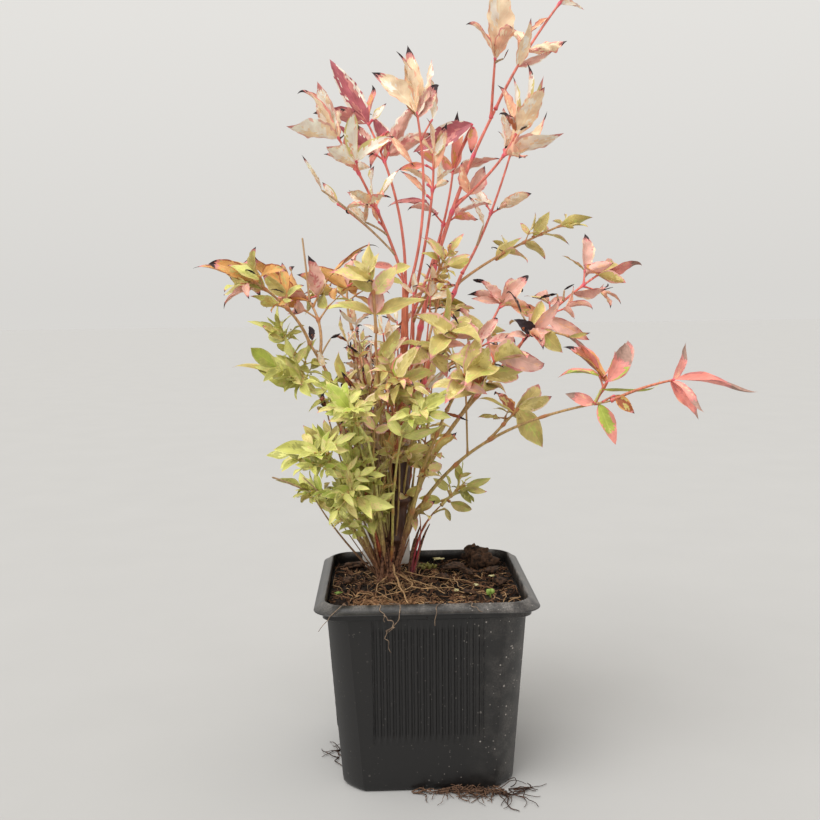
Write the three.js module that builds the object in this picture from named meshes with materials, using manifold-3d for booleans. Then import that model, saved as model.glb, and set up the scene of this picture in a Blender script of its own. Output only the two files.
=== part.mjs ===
import * as THREE from "three";
import { mergeVertices } from "three/addons/utils/BufferGeometryUtils.js";
import Module from "manifold-3d";

// A young heavenly bamboo (Nandina domestica) in its square nursery pot.
// Millimetres: x to the right, y to the back, z up; the origin is the middle of the pot's underside.

const wasm = await Module();
wasm.setup();

// The pot and what fills it.
const POT_HEIGHT = 80;
const POT_LIP = 90; // across the lip
const POT_TOP = 81; // across the walls at the top
const POT_FOOT = 70; // across the walls at the foot
const POT_WALL = 1.1;
const POT_FLOOR = 3;
const POT_CHAMFER = 8.6; // leg of each upright corner facet
const LIP_TOP = 83; // across the upper edge of the lip, which slopes out from there
const LIP_DROP = 3.2;
const LIP_ROUND = 9.5;
const LIP_THICK = 1.3;
const POT_NECK = 83; // across the thicker band just under the lip
const NECK_DROP = 6.2;
const NECK_ROUND = 5;
const DRAIN = { width: 12, height: 1.5, inner: 12 };
const SOIL_DEPTH = 5; // from the rim down to the compost
const GAP = 0.3; // between neighbouring pieces
const SOIL = POT_HEIGHT - SOIL_DEPTH;
const LABEL = { width: 22, thick: 0.9, top: 98, foot: 44, x: -16, y: 34 };
const NUGGET = { x: 27, y: 31, long: 7, deep: 5, high: 4.4 };

// Leaves: their width along the rib as a share of the widest, on short leaves and on long ones.
const SHORT_LEAF = [[0, 0], [0.42, 1], [1, 0]];
const LONG_LEAF = [[0, 0], [0.3, 0.95], [0.66, 0.78], [1, 0]];
const LONG_FROM = 21;
const LEAF_SLENDER = 0.33; // width over length
const LEAF_THICK = 0.42;
const NECK = 0.2; // half width of a leaf's neck
const TWIG_RADII = [0.68, 0.46]; // of a spray's main twig, foot and tip
const STALK_RADII = [0.44, 0.4];
const BARE = 0.4; // share of a spray's twig below its first leaf joint
const TOP_JOINT = 0.94; // share of it below its last one
const PAIR_STEP = 0.9; // between the roots of neighbouring leaves at a joint
const PAIR_SHARE = 0.85;
const LEAF_ROLL = 0.9; // of a blade about its rib, in radians in all
const DROOP = [0.1, 0.35]; // of a level leaf, the least and how much more at most
const TWIG_ROLL = 0.8; // of a joint's leaves about their twig
const OPEN_JITTER = 0.3; // of the angle between leaf and twig
const TILT_JITTER = 0.4; // of a leaf out of the plane of its joint
const TRIO_SIZES = [0.88, 0.24]; // over the length asked for, the least and how much more
const SIDE_SIZES = [0.7, 0.25];
const SIDE_STALKS = [0.8, 0.4];
const SIDE_OPEN = 0.8; // radians between a side stalk and its twig
const JOINT_TURN = 1.1; // every second joint turns its leaves so far about the twig
const STEM_SIDES = 6;
const TWIG_SIDES = 3; // also of leaves and roots
const ROOT = { height: 1.1, radii: [0.8, 0.5], fan: 0.62 };
const UP = new THREE.Vector3(0, 0, 1);
const ACROSS = new THREE.Vector3(1, 0, 0);
const FACING = new THREE.Vector3(0, -0.42, 0.91); // the way that leaves turn their faces

const COLOURS = {
  pot: "#2b2a2b",
  soil: "#33261d",
  label: "#ece9e2",
  bark: "#5b3d2e",
  cane: "#b4533f",
  olive: "#8c7a3c",
  green: "#8f9a4a",
  cream: "#e3b98c",
  rose: "#b9585b",
  salmon: "#d98c7e",
  coral: "#e77a6c",
  lime: "#a3b84c",
  leaf: "#a9a548",
};

// Stems: foot on the compost [x, y], reach to the tip, bow of its middle, girth at foot and tip, and
// tint where it is not olive.
const STEMS = {
  cane_main: { foot: [-11, 7], reach: [5, -1.5, 129], bow: [0, 0, 0], girth: [6, 2.6], tint: "cane" },
  cane_right: { foot: [-7, 17], reach: [42, 12, 205], bow: [-14, -4, 4], girth: [3.8, 1.4], tint: "cane" },
  cane_back: { foot: [-5, 22], reach: [25, 9, 134], bow: [-8, 0, 4], girth: [3.4, 1.8], tint: "cane" },
  stem_mid: { foot: [-13, 16.5], reach: [10.5, -2.5, 122], bow: [2, -3, 0], girth: [2.6, 1.3], tint: "cane" },
  stem_left: { foot: [-18, 12.5], reach: [-28, -18, 105], bow: [6, 0, 4], girth: [3.2, 1.5] },
  stem_front: { foot: [-14.5, 11.5], reach: [-4, -31, 110], bow: [0, 3, 0], girth: [3, 1.4] },
  stem_low_left: { foot: [-22, 12], reach: [-17, -10, 79], bow: [3, 0, 4], girth: [2.8, 1.3] },
  stem_right: { foot: [-6, 12.5], reach: [42, -20, 96], bow: [-12, 0, 3], girth: [3.2, 1.8] },
  stem_low_right: { foot: [-5, 7.5], reach: [14.5, -25.5, 78], bow: [-4, 2, 2], girth: [2.8, 1.5] },
  stem_far: { foot: [-3.8, 14.9], reach: [82, -25, 80], bow: [-22, 0, 13], girth: [3, 1.5] },
  shoot_right: { foot: [-1.5, 20], reach: [11, 8, 29], bow: [-4, 0, 2], girth: [2.2, 1.2], tint: "rose" },
  shoot_left: { foot: [-23, 17], reach: [-15, -6, 34], bow: [2, 0, 2], girth: [2, 1.1], tint: "green" },
  shoot_low_left: { foot: [-19.5, 8], reach: [-10, -32, 52], bow: [2, 3, 3], girth: [2.4, 1.2], tint: "green" },
  shoot_mid: { foot: [-16.5, 6], reach: [-6, -34, 68], bow: [1, 3, 2], girth: [2.4, 1.2], tint: "green" },
  shoot_front: { foot: [-7.5, 3], reach: [-1, -25, 70], bow: [-1, 2, 2], girth: [2, 1.2], tint: "rose" },
  stem_back_left: { foot: [-19, 17.5], reach: [-11, 27, 109], bow: [1, -5, 3], girth: [3, 1.4] },
  stem_back_right: { foot: [-10.5, 23], reach: [16, 29, 103], bow: [-5, -4, 3], girth: [3, 1.4] },
};

// Sprays, one mass each: the stem and the place on it, reach and bow of the main twig, leaf length,
// leaf joints, side stalk length, how far in radians a pair of leaves opens from the twig, tint, and
// where it isn't PAIR_SHARE, the size of the pair's leaves over that of the one between them.
const SPRAYS = {
  spray_top_left: ["cane_main", 1, [-27, -10, 60], [2, 0, 1], 25, 2, 5, 0.7, "cream"],
  spray_top_red: ["cane_main", 0.96, [-15, 15, 75], [5, 0, 1], 27, 1, 6, 0.6, "rose"],
  spray_top_centre: ["cane_main", 0.95, [6, 2, 78], [5, 0, -2], 31, 0, 0, 0.42, "cream"],
  spray_top: ["cane_right", 1, [36, 10, 55], [-3, 0, -1], 21, 2, 0, 0.6, "cream"],
  spray_top_inner: ["cane_right", 0.98, [1, -8, 24], [0, 0, 1], 29, 0, 0, 0.5, "cream"],
  spray_upper_right: ["cane_right", 0.78, [27, -3, 31], [4, 0, 1], 33, 1, 3, 0.45, "cream"],
  spray_back_rise: ["cane_back", 1, [24, 14, 55], [0, 0, -5], 17, 1, 5, 0.6, "cream"],
  spray_back_side: ["cane_back", 0.96, [51, 24, 27], [-4, 0, 0], 16, 3, 0, 0.6, "leaf"],
  spray_centre_rise: ["stem_mid", 1, [9, -3, 62], [3, 0, 6], 17, 1, 3, 0.6, "cream"],
  spray_centre_rose: ["stem_mid", 0.96, [19, 19, 62], [3, 0, 2], 26, 1, 7, 0.9, "rose"],
  spray_centre_small: ["stem_mid", 0.93, [13, -13, 26], [0, 0, 0], 14, 2, 5, 0.9, "leaf"],
  spray_far_left: ["stem_left", 1, [-21, -12, 26], [3, 0, 1], 20, 2, 6, 0.8, "leaf"],
  spray_left_arch: ["stem_left", 0.93, [-6, 14, 26], [3, 0, 1], 23, 1, 8, 1.1, "rose"],
  spray_front_trio: ["stem_front", 1, [-1, -5, 21], [0, 0, 0], 20, 1, 0, 1.25, "leaf"],
  spray_low_left: ["stem_low_left", 1, [-13, -6, 12], [0, 0, 1], 24, 1, 5, 0.8, "lime"],
  spray_lime_left: ["stem_low_left", 0.96, [-21, 13, 32], [-3, 0, 1], 14, 2, 5, 0.9, "lime"],
  spray_inner_left: ["stem_low_left", 0.7, [-4, -15, 27], [0, 0, 0], 16, 1, 5, 1, "lime"],
  spray_back_arch: ["stem_back_left", 1, [-2, 5, 20], [-1, 0, 0], 22, 1, 6, 1.1, "rose"],
  spray_right_pink: ["stem_low_right", 1, [25, 21, 43], [0, 0, 0], 18, 1, 5, 1.1, "salmon"],
  spray_right_dark: ["stem_right", 1, [8, -7, 14], [0, 0, 0], 19, 1, 5, 1.1, "salmon"],
  spray_right_rise: ["stem_right", 0.93, [50, 26, 43], [-1, 0, 3], 18, 2, 8, 0.9, "salmon"],
  spray_big_front: ["stem_right", 0.74, [12, -27, 25], [0, 0, 0], 26, 1, 4, 1.3, "leaf"],
  spray_far_tip: ["stem_far", 1, [25, -6, 9], [0, 0, 1], 38, 0, 0, 0.95, "coral", 0.55],
  spray_far_cluster: ["stem_far", 0.96, [6, 2, 9], [0, 0, 0], 26, 1, 6, 1.1, "coral"],
  spray_far_inner: ["stem_far", 0.64, [11, 2, 11], [0, 0, 0], 20, 1, 5, 1.2, "leaf"],
  spray_right_inner: ["stem_low_right", 0.97, [7.6, -14, 18], [0, 0, 0], 18, 1, 6, 1.1, "salmon"],
  spray_mid_pink: ["stem_mid", 0.75, [14.6, -26.2, 18], [0, 0, 0], 19, 2, 5, 1.2, "salmon"],
  spray_centre_low: ["stem_front", 0.7, [7, -9, 15], [0, 0, 0], 17, 2, 6, 1.1, "leaf"],
  spray_front_green: ["shoot_front", 1, [5, -8, 8], [0, 0, 0], 17, 1, 4, 1, "lime"],
  spray_low_right: ["shoot_right", 1, [9, 6, 7], [0, 0, 0], 10, 2, 7, 0.8, "lime"],
  spray_foot_left: ["shoot_left", 1, [-8, -1, 6], [0, 0, 0], 18, 1, 4, 0.9, "lime"],
  spray_lime_front: ["shoot_low_left", 1, [-12, -8, 11], [0, 0, 0], 18, 2, 7, 1, "lime"],
  spray_lime_mid: ["shoot_mid", 1, [-7, -6, 13], [0, 0, 0], 17, 2, 6, 1, "lime"],
  spray_lime_low: ["shoot_low_left", 0.7, [-6, -20, 9], [0, 0, 0], 16, 2, 6, 1, "lime"],
  spray_inner_dry: ["stem_back_left", 0.75, [2, -12, 9], [0, 0, 0], 15, 2, 6, 1.1, "cream"],
  spray_back_olive: ["stem_back_right", 1, [6, 12, 20], [0, 0, 0], 18, 2, 7, 1.1, "leaf"],
  spray_back_right: ["stem_back_right", 0.7, [35, 23, 30], [0, 0, 0], 18, 2, 6, 1, "leaf"],
  spray_back_low: ["stem_back_right", 0.4, [11, 26, 6], [0, 0, 0], 16, 2, 6, 1, "lime"],
};

// A straight reach with its middle bowed out: the point at t from 0 to 1, and its direction.
function arc(start, reach, bow) {
  const chord = new THREE.Vector3(...reach);
  const lift = new THREE.Vector3(...bow);
  return {
    length: chord.length(),
    point: (t) => start.clone().addScaledVector(chord, t).addScaledVector(lift, 4 * t * (1 - t)),
    heading: (t) => chord.clone().addScaledVector(lift, 4 - 8 * t).normalize(),
  };
}

// A seeded row of numbers from 0 to 1.
function dice(seed) {
  let state = seed;
  return () => {
    state = (state * 1664525 + 1013904223) % 4294967296;
    return state / 4294967296;
  };
}

function solid(geometry) {
  const bare = geometry.clone();
  bare.deleteAttribute("normal");
  bare.deleteAttribute("uv");
  const merged = mergeVertices(bare, 1e-4);
  const vertProperties = new Float32Array(merged.attributes.position.array);
  const triVerts = new Uint32Array(merged.index.array);
  return new wasm.Manifold(new wasm.Mesh({ numProp: 3, vertProperties, triVerts }));
}

function geometryOf(body) {
  const mesh = body.getMesh();
  const geometry = new THREE.BufferGeometry();
  geometry.setAttribute("position", new THREE.BufferAttribute(mesh.vertProperties, mesh.numProp));
  geometry.setIndex(new THREE.BufferAttribute(mesh.triVerts, 1));
  return geometry;
}

// A closed tube over a row of stations, each with its middle and its two half axes.
function tube(stations, sides, pointed) {
  const parts = stations.length - 1;
  const geometry = pointed
    ? new THREE.ConeGeometry(1, 1, sides, parts)
    : new THREE.CylinderGeometry(1, 1, 1, sides, parts);
  const spots = geometry.attributes.position;
  for (let i = 0; i < spots.count; i += 1) {
    const round = Math.hypot(spots.getX(i), spots.getZ(i));
    const unit = round > 1e-6 ? 1 / round : 0;
    const { middle, across, through } = stations[Math.round((spots.getY(i) + 0.5) * parts)];
    const spot = middle.clone().addScaledVector(across, spots.getX(i) * unit);
    spot.addScaledVector(through, spots.getZ(i) * unit);
    spots.setXYZ(i, spot.x, spot.y, spot.z);
  }
  return geometry;
}

// Stations of a tapering limb along a curve, between two of its parameters.
function limbStations(curve, from, to, radii, parts, side) {
  const stations = [];
  for (let i = 0; i <= parts; i += 1) {
    const t = from + ((to - from) * i) / parts;
    const heading = curve.heading(t);
    const across = side.clone().addScaledVector(heading, -side.dot(heading)).normalize();
    const through = across.clone().cross(heading);
    const radius = radii[0] + (radii[1] - radii[0]) * t;
    stations.push({
      middle: curve.point(t),
      across: across.multiplyScalar(radius),
      through: through.multiplyScalar(radius),
    });
  }
  return stations;
}

// Stations of a leaf: a thin keeled blade that widens from a neck, comes to a point and droops.
function leafStations({ root, way, side, size, droop }) {
  return (size < LONG_FROM ? SHORT_LEAF : LONG_LEAF).map(([s, share]) => {
    const tangent = way.clone().addScaledVector(UP, -2 * droop * s).normalize();
    const through = side.clone().cross(tangent);
    const half = NECK + (share * size * LEAF_SLENDER) / 2 / Math.sin(Math.PI / 3);
    return {
      middle: root.clone().addScaledVector(way, size * s).addScaledVector(UP, -droop * size * s * s),
      across: side.clone().multiplyScalar(s < 1 ? half : 0),
      through: through.multiplyScalar(s < 1 ? NECK + (LEAF_THICK - NECK) * share : 0),
    };
  });
}

// The direction square to the heading that lies nearest to where leaves face, turned about it.
function facing(heading, turn) {
  const face = FACING.clone().addScaledVector(heading, -FACING.dot(heading)).normalize();
  return face.applyAxisAngle(heading, turn);
}

// A leaf set off at an angle from its twig and tilted out of their plane.
function leafFrom(root, heading, face, angle, tilt, size, roll) {
  const side = face.clone().cross(heading).normalize();
  const way = heading.clone().multiplyScalar(Math.cos(angle)).addScaledVector(side, Math.sin(angle));
  way.addScaledVector(face, tilt).normalize();
  const droop = Math.hypot(way.x, way.y) * (DROOP[0] + DROOP[1] * roll());
  const blade = facing(way, LEAF_ROLL * (roll() - 0.5)).cross(way).normalize();
  return { root, way, side: blade, size, droop };
}

// The joint at the end of a twig: a leaf straight on, which bends back where the pair opens wide,
// and one to each side just below it.
function trio(curve, spread, length, roll, pair = PAIR_SHARE) {
  const heading = curve.heading(1);
  const face = facing(heading, TWIG_ROLL * (roll() - 0.5));
  return [0, 1, -1].map((hand, order) => {
    const root = curve.point(1 - (order * PAIR_STEP) / curve.length);
    const angle = hand * (spread + OPEN_JITTER * (roll() - 0.5));
    const tilt = TILT_JITTER * (roll() - 0.5) - (hand === 0 ? Math.max(0, spread - 0.8) : 0);
    const size = length * (hand === 0 ? 1 : pair) * (TRIO_SIZES[0] + TRIO_SIZES[1] * roll());
    return leafFrom(root, heading, face, angle, tilt, size, roll);
  });
}

// Every side stalk and leaf that a spray could carry, in the order that they grow.
function shoots(curve, length, joints, stalk, spread, roll) {
  const parts = [];
  for (let joint = 0; joint < joints; joint += 1) {
    const t = BARE + ((TOP_JOINT - BARE) * (joint + 0.5 * (roll() + 0.5))) / joints;
    const heading = curve.heading(t);
    const face = facing(heading, JOINT_TURN * (joint % 2) + TWIG_ROLL * (roll() - 0.5));
    for (const hand of [1, -1]) {
      const root = curve.point(t + ((hand * PAIR_STEP) / 2) / curve.length);
      const angle = hand * (SIDE_OPEN + OPEN_JITTER * (roll() - 0.5));
      const size = length * (SIDE_SIZES[0] + SIDE_SIZES[1] * roll());
      const first = leafFrom(root, heading, face, angle, TILT_JITTER * (roll() - 0.4), size, roll);
      const reach = first.way.clone().multiplyScalar(stalk * (SIDE_STALKS[0] + SIDE_STALKS[1] * roll()));
      const twig = arc(root, reach.toArray(), [0, 0, 0]);
      parts.push(stalk > 0 ? { twig, leaves: trio(twig, spread, size, roll) } : { leaves: [first] });
    }
  }
  return parts;
}

// Bodies that are near a box, and whether a new body stands clear of all of them.
function clearOf(body, others) {
  const box = body.boundingBox();
  return others.every((other) => {
    const near = [0, 1, 2].every(
      (k) => box.min[k] < other.box.max[k] + GAP && other.box.min[k] < box.max[k] + GAP,
    );
    return !near || body.minGap(other.body, 2 * GAP) >= GAP;
  });
}

const heavenlyBamboo = new THREE.Group();

function addPiece(name, body, colour, roughness = 0.6) {
  const material = new THREE.MeshStandardMaterial({ color: colour, roughness, metalness: 0 });
  const mesh = new THREE.Mesh(geometryOf(body), material);
  mesh.name = name;
  heavenlyBamboo.add(mesh);
}

// A square block tapered from one width to another, its upright corners of one facet or more.
function block(footWidth, topWidth, corner, facets, bottom, top) {
  const inner = topWidth / 2 - corner;
  const outline = new THREE.Shape();
  [[1, 1], [-1, 1], [-1, -1], [1, -1]].forEach(([sx, sy], turn) => {
    outline.absarc(sx * inner, sy * inner, corner, (turn * Math.PI) / 2, ((turn + 1) * Math.PI) / 2);
  });
  const height = top - bottom;
  const settings = { depth: height, bevelEnabled: false, curveSegments: facets };
  const geometry = new THREE.ExtrudeGeometry(outline, settings);
  const spots = geometry.attributes.position;
  for (let i = 0; i < spots.count; i += 1) {
    const share = (footWidth + (topWidth - footWidth) * (spots.getZ(i) / height)) / topWidth;
    spots.setXYZ(i, spots.getX(i) * share, spots.getY(i) * share, spots.getZ(i) + bottom);
  }
  return solid(geometry);
}

function bar(x, y, z, width, depth, height) {
  return solid(new THREE.BoxGeometry(width, depth, height).translate(x, y, z));
}

function potWidth(z) {
  return POT_FOOT + ((POT_TOP - POT_FOOT) * z) / POT_HEIGHT;
}

// What lies inside the pot's walls, drawn in by a margin.
function filling(margin, bottom, top) {
  const corner = POT_CHAMFER - 0.6 * margin;
  return block(potWidth(bottom) - 2 * margin, potWidth(top) - 2 * margin, corner, 1, bottom, top);
}

function pot() {
  const skirtFoot = POT_HEIGHT - LIP_DROP;
  const lip = block(POT_LIP, LIP_TOP, LIP_ROUND, 4, skirtFoot, POT_HEIGHT);
  const [underFoot, underTop] = [POT_LIP, LIP_TOP].map((width) => width - 2 * LIP_THICK);
  const underLip = block(underFoot, underTop, LIP_ROUND, 4, skirtFoot, POT_HEIGHT - LIP_THICK);
  const neck = block(POT_NECK, POT_NECK, NECK_ROUND, 2, POT_HEIGHT - NECK_DROP, POT_HEIGHT - LIP_THICK);
  let body = lip.subtract(underLip).add(neck).add(filling(0, 0, POT_HEIGHT));
  body = body.subtract(filling(POT_WALL, POT_FLOOR, POT_HEIGHT + 1));
  const reach = POT_FOOT / 2 + 2 - DRAIN.inner;
  for (const [sx, sy] of [[1, 0], [-1, 0], [0, 1], [0, -1]]) {
    const middle = DRAIN.inner + reach / 2;
    const [width, depth] = sx === 0 ? [DRAIN.width, reach] : [reach, DRAIN.width];
    body = body.subtract(bar(sx * middle, sy * middle, 0, width, depth, 2 * DRAIN.height));
  }
  return body;
}

function soil() {
  const { x, y, width, thick, foot } = LABEL;
  const slot = bar(x, y, SOIL, width + 2 * GAP, thick + 2 * GAP, 2 * (SOIL - foot + GAP));
  const lump = new THREE.IcosahedronGeometry(1, 0).scale(NUGGET.long, NUGGET.deep, NUGGET.high);
  const nugget = solid(lump.translate(NUGGET.x, NUGGET.y, SOIL + NUGGET.high * 0.7));
  return filling(POT_WALL + GAP, POT_FLOOR + GAP, SOIL).subtract(slot).add(nugget);
}

function label() {
  const height = LABEL.top - LABEL.foot;
  return bar(LABEL.x, LABEL.y, LABEL.foot + height / 2, LABEL.width, LABEL.thick, height);
}

// Roots that have come out under the pot's wall: strands over the floor from one start.
function rootTuft(x, y, aim, strands, length) {
  const roll = dice(strands * 31 + length);
  let body = null;
  for (let i = 0; i < strands; i += 1) {
    const angle = aim + (i - (strands - 1) / 2) * ROOT.fan;
    const reach = length * (0.65 + 0.5 * roll());
    const way = [Math.cos(angle) * reach, Math.sin(angle) * reach, -0.4];
    const start = new THREE.Vector3(x, y, ROOT.height);
    const strand = arc(start, way, [0, 3 * (roll() - 0.5), 0.8 + roll()]);
    const piece = solid(tube(limbStations(strand, 0, 1, ROOT.radii, 3, UP), TWIG_SIDES, false));
    body = body ? body.add(piece) : piece;
  }
  return body;
}

// Stems stand on the compost, cut flat at their feet.
const stems = {};
const placed = [];
for (const [name, { foot, reach, bow, girth, tint = "olive" }] of Object.entries(STEMS)) {
  const curve = arc(new THREE.Vector3(foot[0], foot[1], SOIL + GAP), reach, bow);
  const radii = girth.map((across) => across / 2);
  const stations = limbStations(curve, 0, 1, radii, 5, ACROSS);
  stations[0].across.set(radii[0], 0, 0);
  stations[0].through.set(0, -radii[0], 0);
  const body = solid(tube(stations, STEM_SIDES, false));
  stems[name] = curve;
  placed.push({ name, body, box: body.boundingBox() });
  addPiece(name, body, COLOURS[tint], 0.5);
}

// The main twig of every spray with the leaf at its end, cut back until it is clear of its stem.
const sprays = Object.entries(SPRAYS).map(([name, row], index) => {
  const [stem, at, reach, bow, length, joints, stalk, spread, tint, pairShare] = row;
  const curve = arc(stems[stem].point(at), reach, bow);
  const roll = dice(101 + 37 * index);
  const [last, ...pair] = trio(curve, spread, length, roll, pairShare);
  const parent = placed.find((piece) => piece.name === stem);
  const ending = leafStations(last).slice(1);
  let start = 0;
  let body = null;
  do {
    start += 0.25 / curve.length;
    const twig = limbStations(curve, start, 1, TWIG_RADII, 4, last.side);
    body = solid(tube([...twig, ...ending], TWIG_SIDES, true));
  } while (body.minGap(parent.body, 1) < 1.2 * GAP);
  const parts = [{ leaves: pair }, ...shoots(curve, length, joints, stalk, spread, roll)];
  return { name, tint, body, box: body.boundingBox(), parts };
});

// Side stalks and leaves: what would touch another piece is left out.
for (const spray of sprays) {
  const others = placed.concat(sprays.filter((one) => one !== spray));
  const join = (piece) => {
    const kept = clearOf(piece, others);
    if (kept) spray.body = spray.body.add(piece);
    return kept;
  };
  for (const { twig, leaves } of spray.parts) {
    let side = leaves;
    if (twig) {
      const [last, ...pair] = leaves;
      const stalk = limbStations(twig, 0, 1, STALK_RADII, 1, last.side);
      const stalked = tube([...stalk, ...leafStations(last).slice(1)], TWIG_SIDES, true);
      if (!join(solid(stalked))) continue;
      side = pair;
    }
    for (const one of side) join(solid(tube(leafStations(one), TWIG_SIDES, true)));
  }
  addPiece(spray.name, spray.body, COLOURS[spray.tint], 0.55);
}

addPiece("pot", pot(), COLOURS.pot, 0.5);
addPiece("soil", soil(), COLOURS.soil, 0.95);
addPiece("plant_label", label(), COLOURS.label, 0.4);
addPiece("roots_right", rootTuft(31.2, -36, -0.35, 4, 15), COLOURS.bark, 0.9);
addPiece("roots_left", rootTuft(-36, -4, 3.1, 4, 10), COLOURS.bark, 0.9);

export default heavenlyBamboo;
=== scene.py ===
import math
from collections import namedtuple

import bpy
import numpy as np
from bpy.props import FloatProperty, FloatVectorProperty, IntProperty, PointerProperty
from mathutils import Matrix


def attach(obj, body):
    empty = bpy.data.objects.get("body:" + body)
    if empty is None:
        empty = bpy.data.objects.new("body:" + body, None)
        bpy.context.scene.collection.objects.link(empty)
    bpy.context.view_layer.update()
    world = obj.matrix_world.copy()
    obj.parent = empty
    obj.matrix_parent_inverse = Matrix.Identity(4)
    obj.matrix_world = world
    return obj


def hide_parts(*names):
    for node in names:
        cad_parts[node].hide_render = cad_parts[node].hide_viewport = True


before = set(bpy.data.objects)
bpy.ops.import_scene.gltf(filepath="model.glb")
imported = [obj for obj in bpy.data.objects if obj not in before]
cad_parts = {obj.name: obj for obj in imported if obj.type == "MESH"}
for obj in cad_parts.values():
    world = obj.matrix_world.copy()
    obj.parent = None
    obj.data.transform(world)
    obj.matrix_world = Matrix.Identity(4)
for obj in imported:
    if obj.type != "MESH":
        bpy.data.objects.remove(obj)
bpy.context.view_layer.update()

# A young heavenly bamboo (Nandina domestica) in its square nursery pot.
# Tables and functions are in millimetres, x to the right, y to the back and z up; the origin is the
# middle of the pot's underside. Properties and meshes are in metres.

bl_info = {
    "name": "Heavenly bamboo in a nursery pot",
    "version": (1, 0),
    "blender": (4, 5, 0),
    "location": "View3D > Sidebar > Bamboo",
    "description": "Grows a young heavenly bamboo in its square pot",
    "category": "Add Mesh",
}

MM = 0.001
UP = np.array((0.0, 0.0, 1.0))

# The pot and its compost.
POT_HEIGHT = 80
POT_LIP = 90
POT_TOP = 81
POT_FOOT = 70
POT_WALL = 1.1
POT_FLOOR = 3
POT_CHAMFER = 8.6
LIP_TOP = 83
LIP_DROP = 3.2
LIP_ROUND = 9.5
LIP_THICK = 1.3
POT_NECK = 83
NECK_DROP = 6.2
NECK_ROUND = 5
RIB_PANEL = (21.5, 72.4)  # height of the ribbed panel's foot and top
DRAIN_WIDTH = 12
DRAIN_HEIGHT = 1.5
DRAIN_INNER = 12
SOIL = 75

# The rule that the solids grow by. A range is its least value, and how much more it can be.
FOOT_GAP = 0.3
TWIG_RADII = (0.68, 0.46)
STALK_RADII = (0.44, 0.4)
BARE = 0.4
TOP_JOINT = 0.94
PAIR_STEP = 0.9
PAIR_SHARE = 0.85
LEAF_ROLL = 0.9
DROOP = (0.1, 0.35)
TWIG_ROLL = 0.8
OPEN_JITTER = 0.3
TILT_JITTER = 0.4
TRIO_SIZES = (0.88, 0.24)
SIDE_SIZES = (0.7, 0.25)
SIDE_STALKS = (0.8, 0.4)
SIDE_OPEN = 0.8
JOINT_TURN = 1.1
WIDE = 0.8
TIP_MATCH = 0.05
FACING = np.array((0.0, -0.42, 0.91))
FIRST_SEED = 101
SEED_STEP = 37

# Stems: foot on the compost, reach to the tip, bow of the middle, girth at foot and tip, bark.
STEMS = {
    "cane_main": ((-11, 7), (5, -1.5, 129), (0, 0, 0), (6, 2.6), "old_cane"),
    "cane_right": ((-7, 17), (42, 12, 205), (-14, -4, 4), (3.8, 1.4), "red_cane"),
    "cane_back": ((-5, 22), (25, 9, 134), (-8, 0, 4), (3.4, 1.8), "red_cane"),
    "stem_mid": ((-13, 16.5), (10.5, -2.5, 122), (2, -3, 0), (2.6, 1.3), "red_cane"),
    "stem_left": ((-18, 12.5), (-28, -18, 105), (6, 0, 4), (3.2, 1.5), "olive"),
    "stem_front": ((-14.5, 11.5), (-4, -31, 110), (0, 3, 0), (3, 1.4), "olive"),
    "stem_low_left": ((-22, 12), (-17, -10, 79), (3, 0, 4), (2.8, 1.3), "olive"),
    "stem_right": ((-6, 12.5), (42, -20, 96), (-12, 0, 3), (3.2, 1.8), "olive"),
    "stem_low_right": ((-5, 7.5), (14.5, -25.5, 78), (-4, 2, 2), (2.8, 1.5), "olive"),
    "stem_far": ((-3.8, 14.9), (82, -25, 80), (-22, 0, 13), (3, 1.5), "olive"),
    "shoot_right": ((-1.5, 20), (11, 8, 29), (-4, 0, 2), (2.2, 1.2), "crimson"),
    "shoot_left": ((-23, 17), (-15, -6, 34), (2, 0, 2), (2, 1.1), "green"),
    "shoot_low_left": ((-19.5, 8), (-10, -32, 52), (2, 3, 3), (2.4, 1.2), "rosy"),
    "shoot_mid": ((-16.5, 6), (-6, -34, 68), (1, 3, 2), (2.4, 1.2), "green"),
    "shoot_front": ((-7.5, 3), (-1, -25, 70), (-1, 2, 2), (2, 1.2), "flushed"),
    "stem_back_left": ((-19, 17.5), (-11, 27, 109), (1, -5, 3), (3, 1.4), "olive"),
    "stem_back_right": ((-10.5, 23), (16, 29, 103), (-5, -4, 3), (3, 1.4), "olive"),
}

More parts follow.
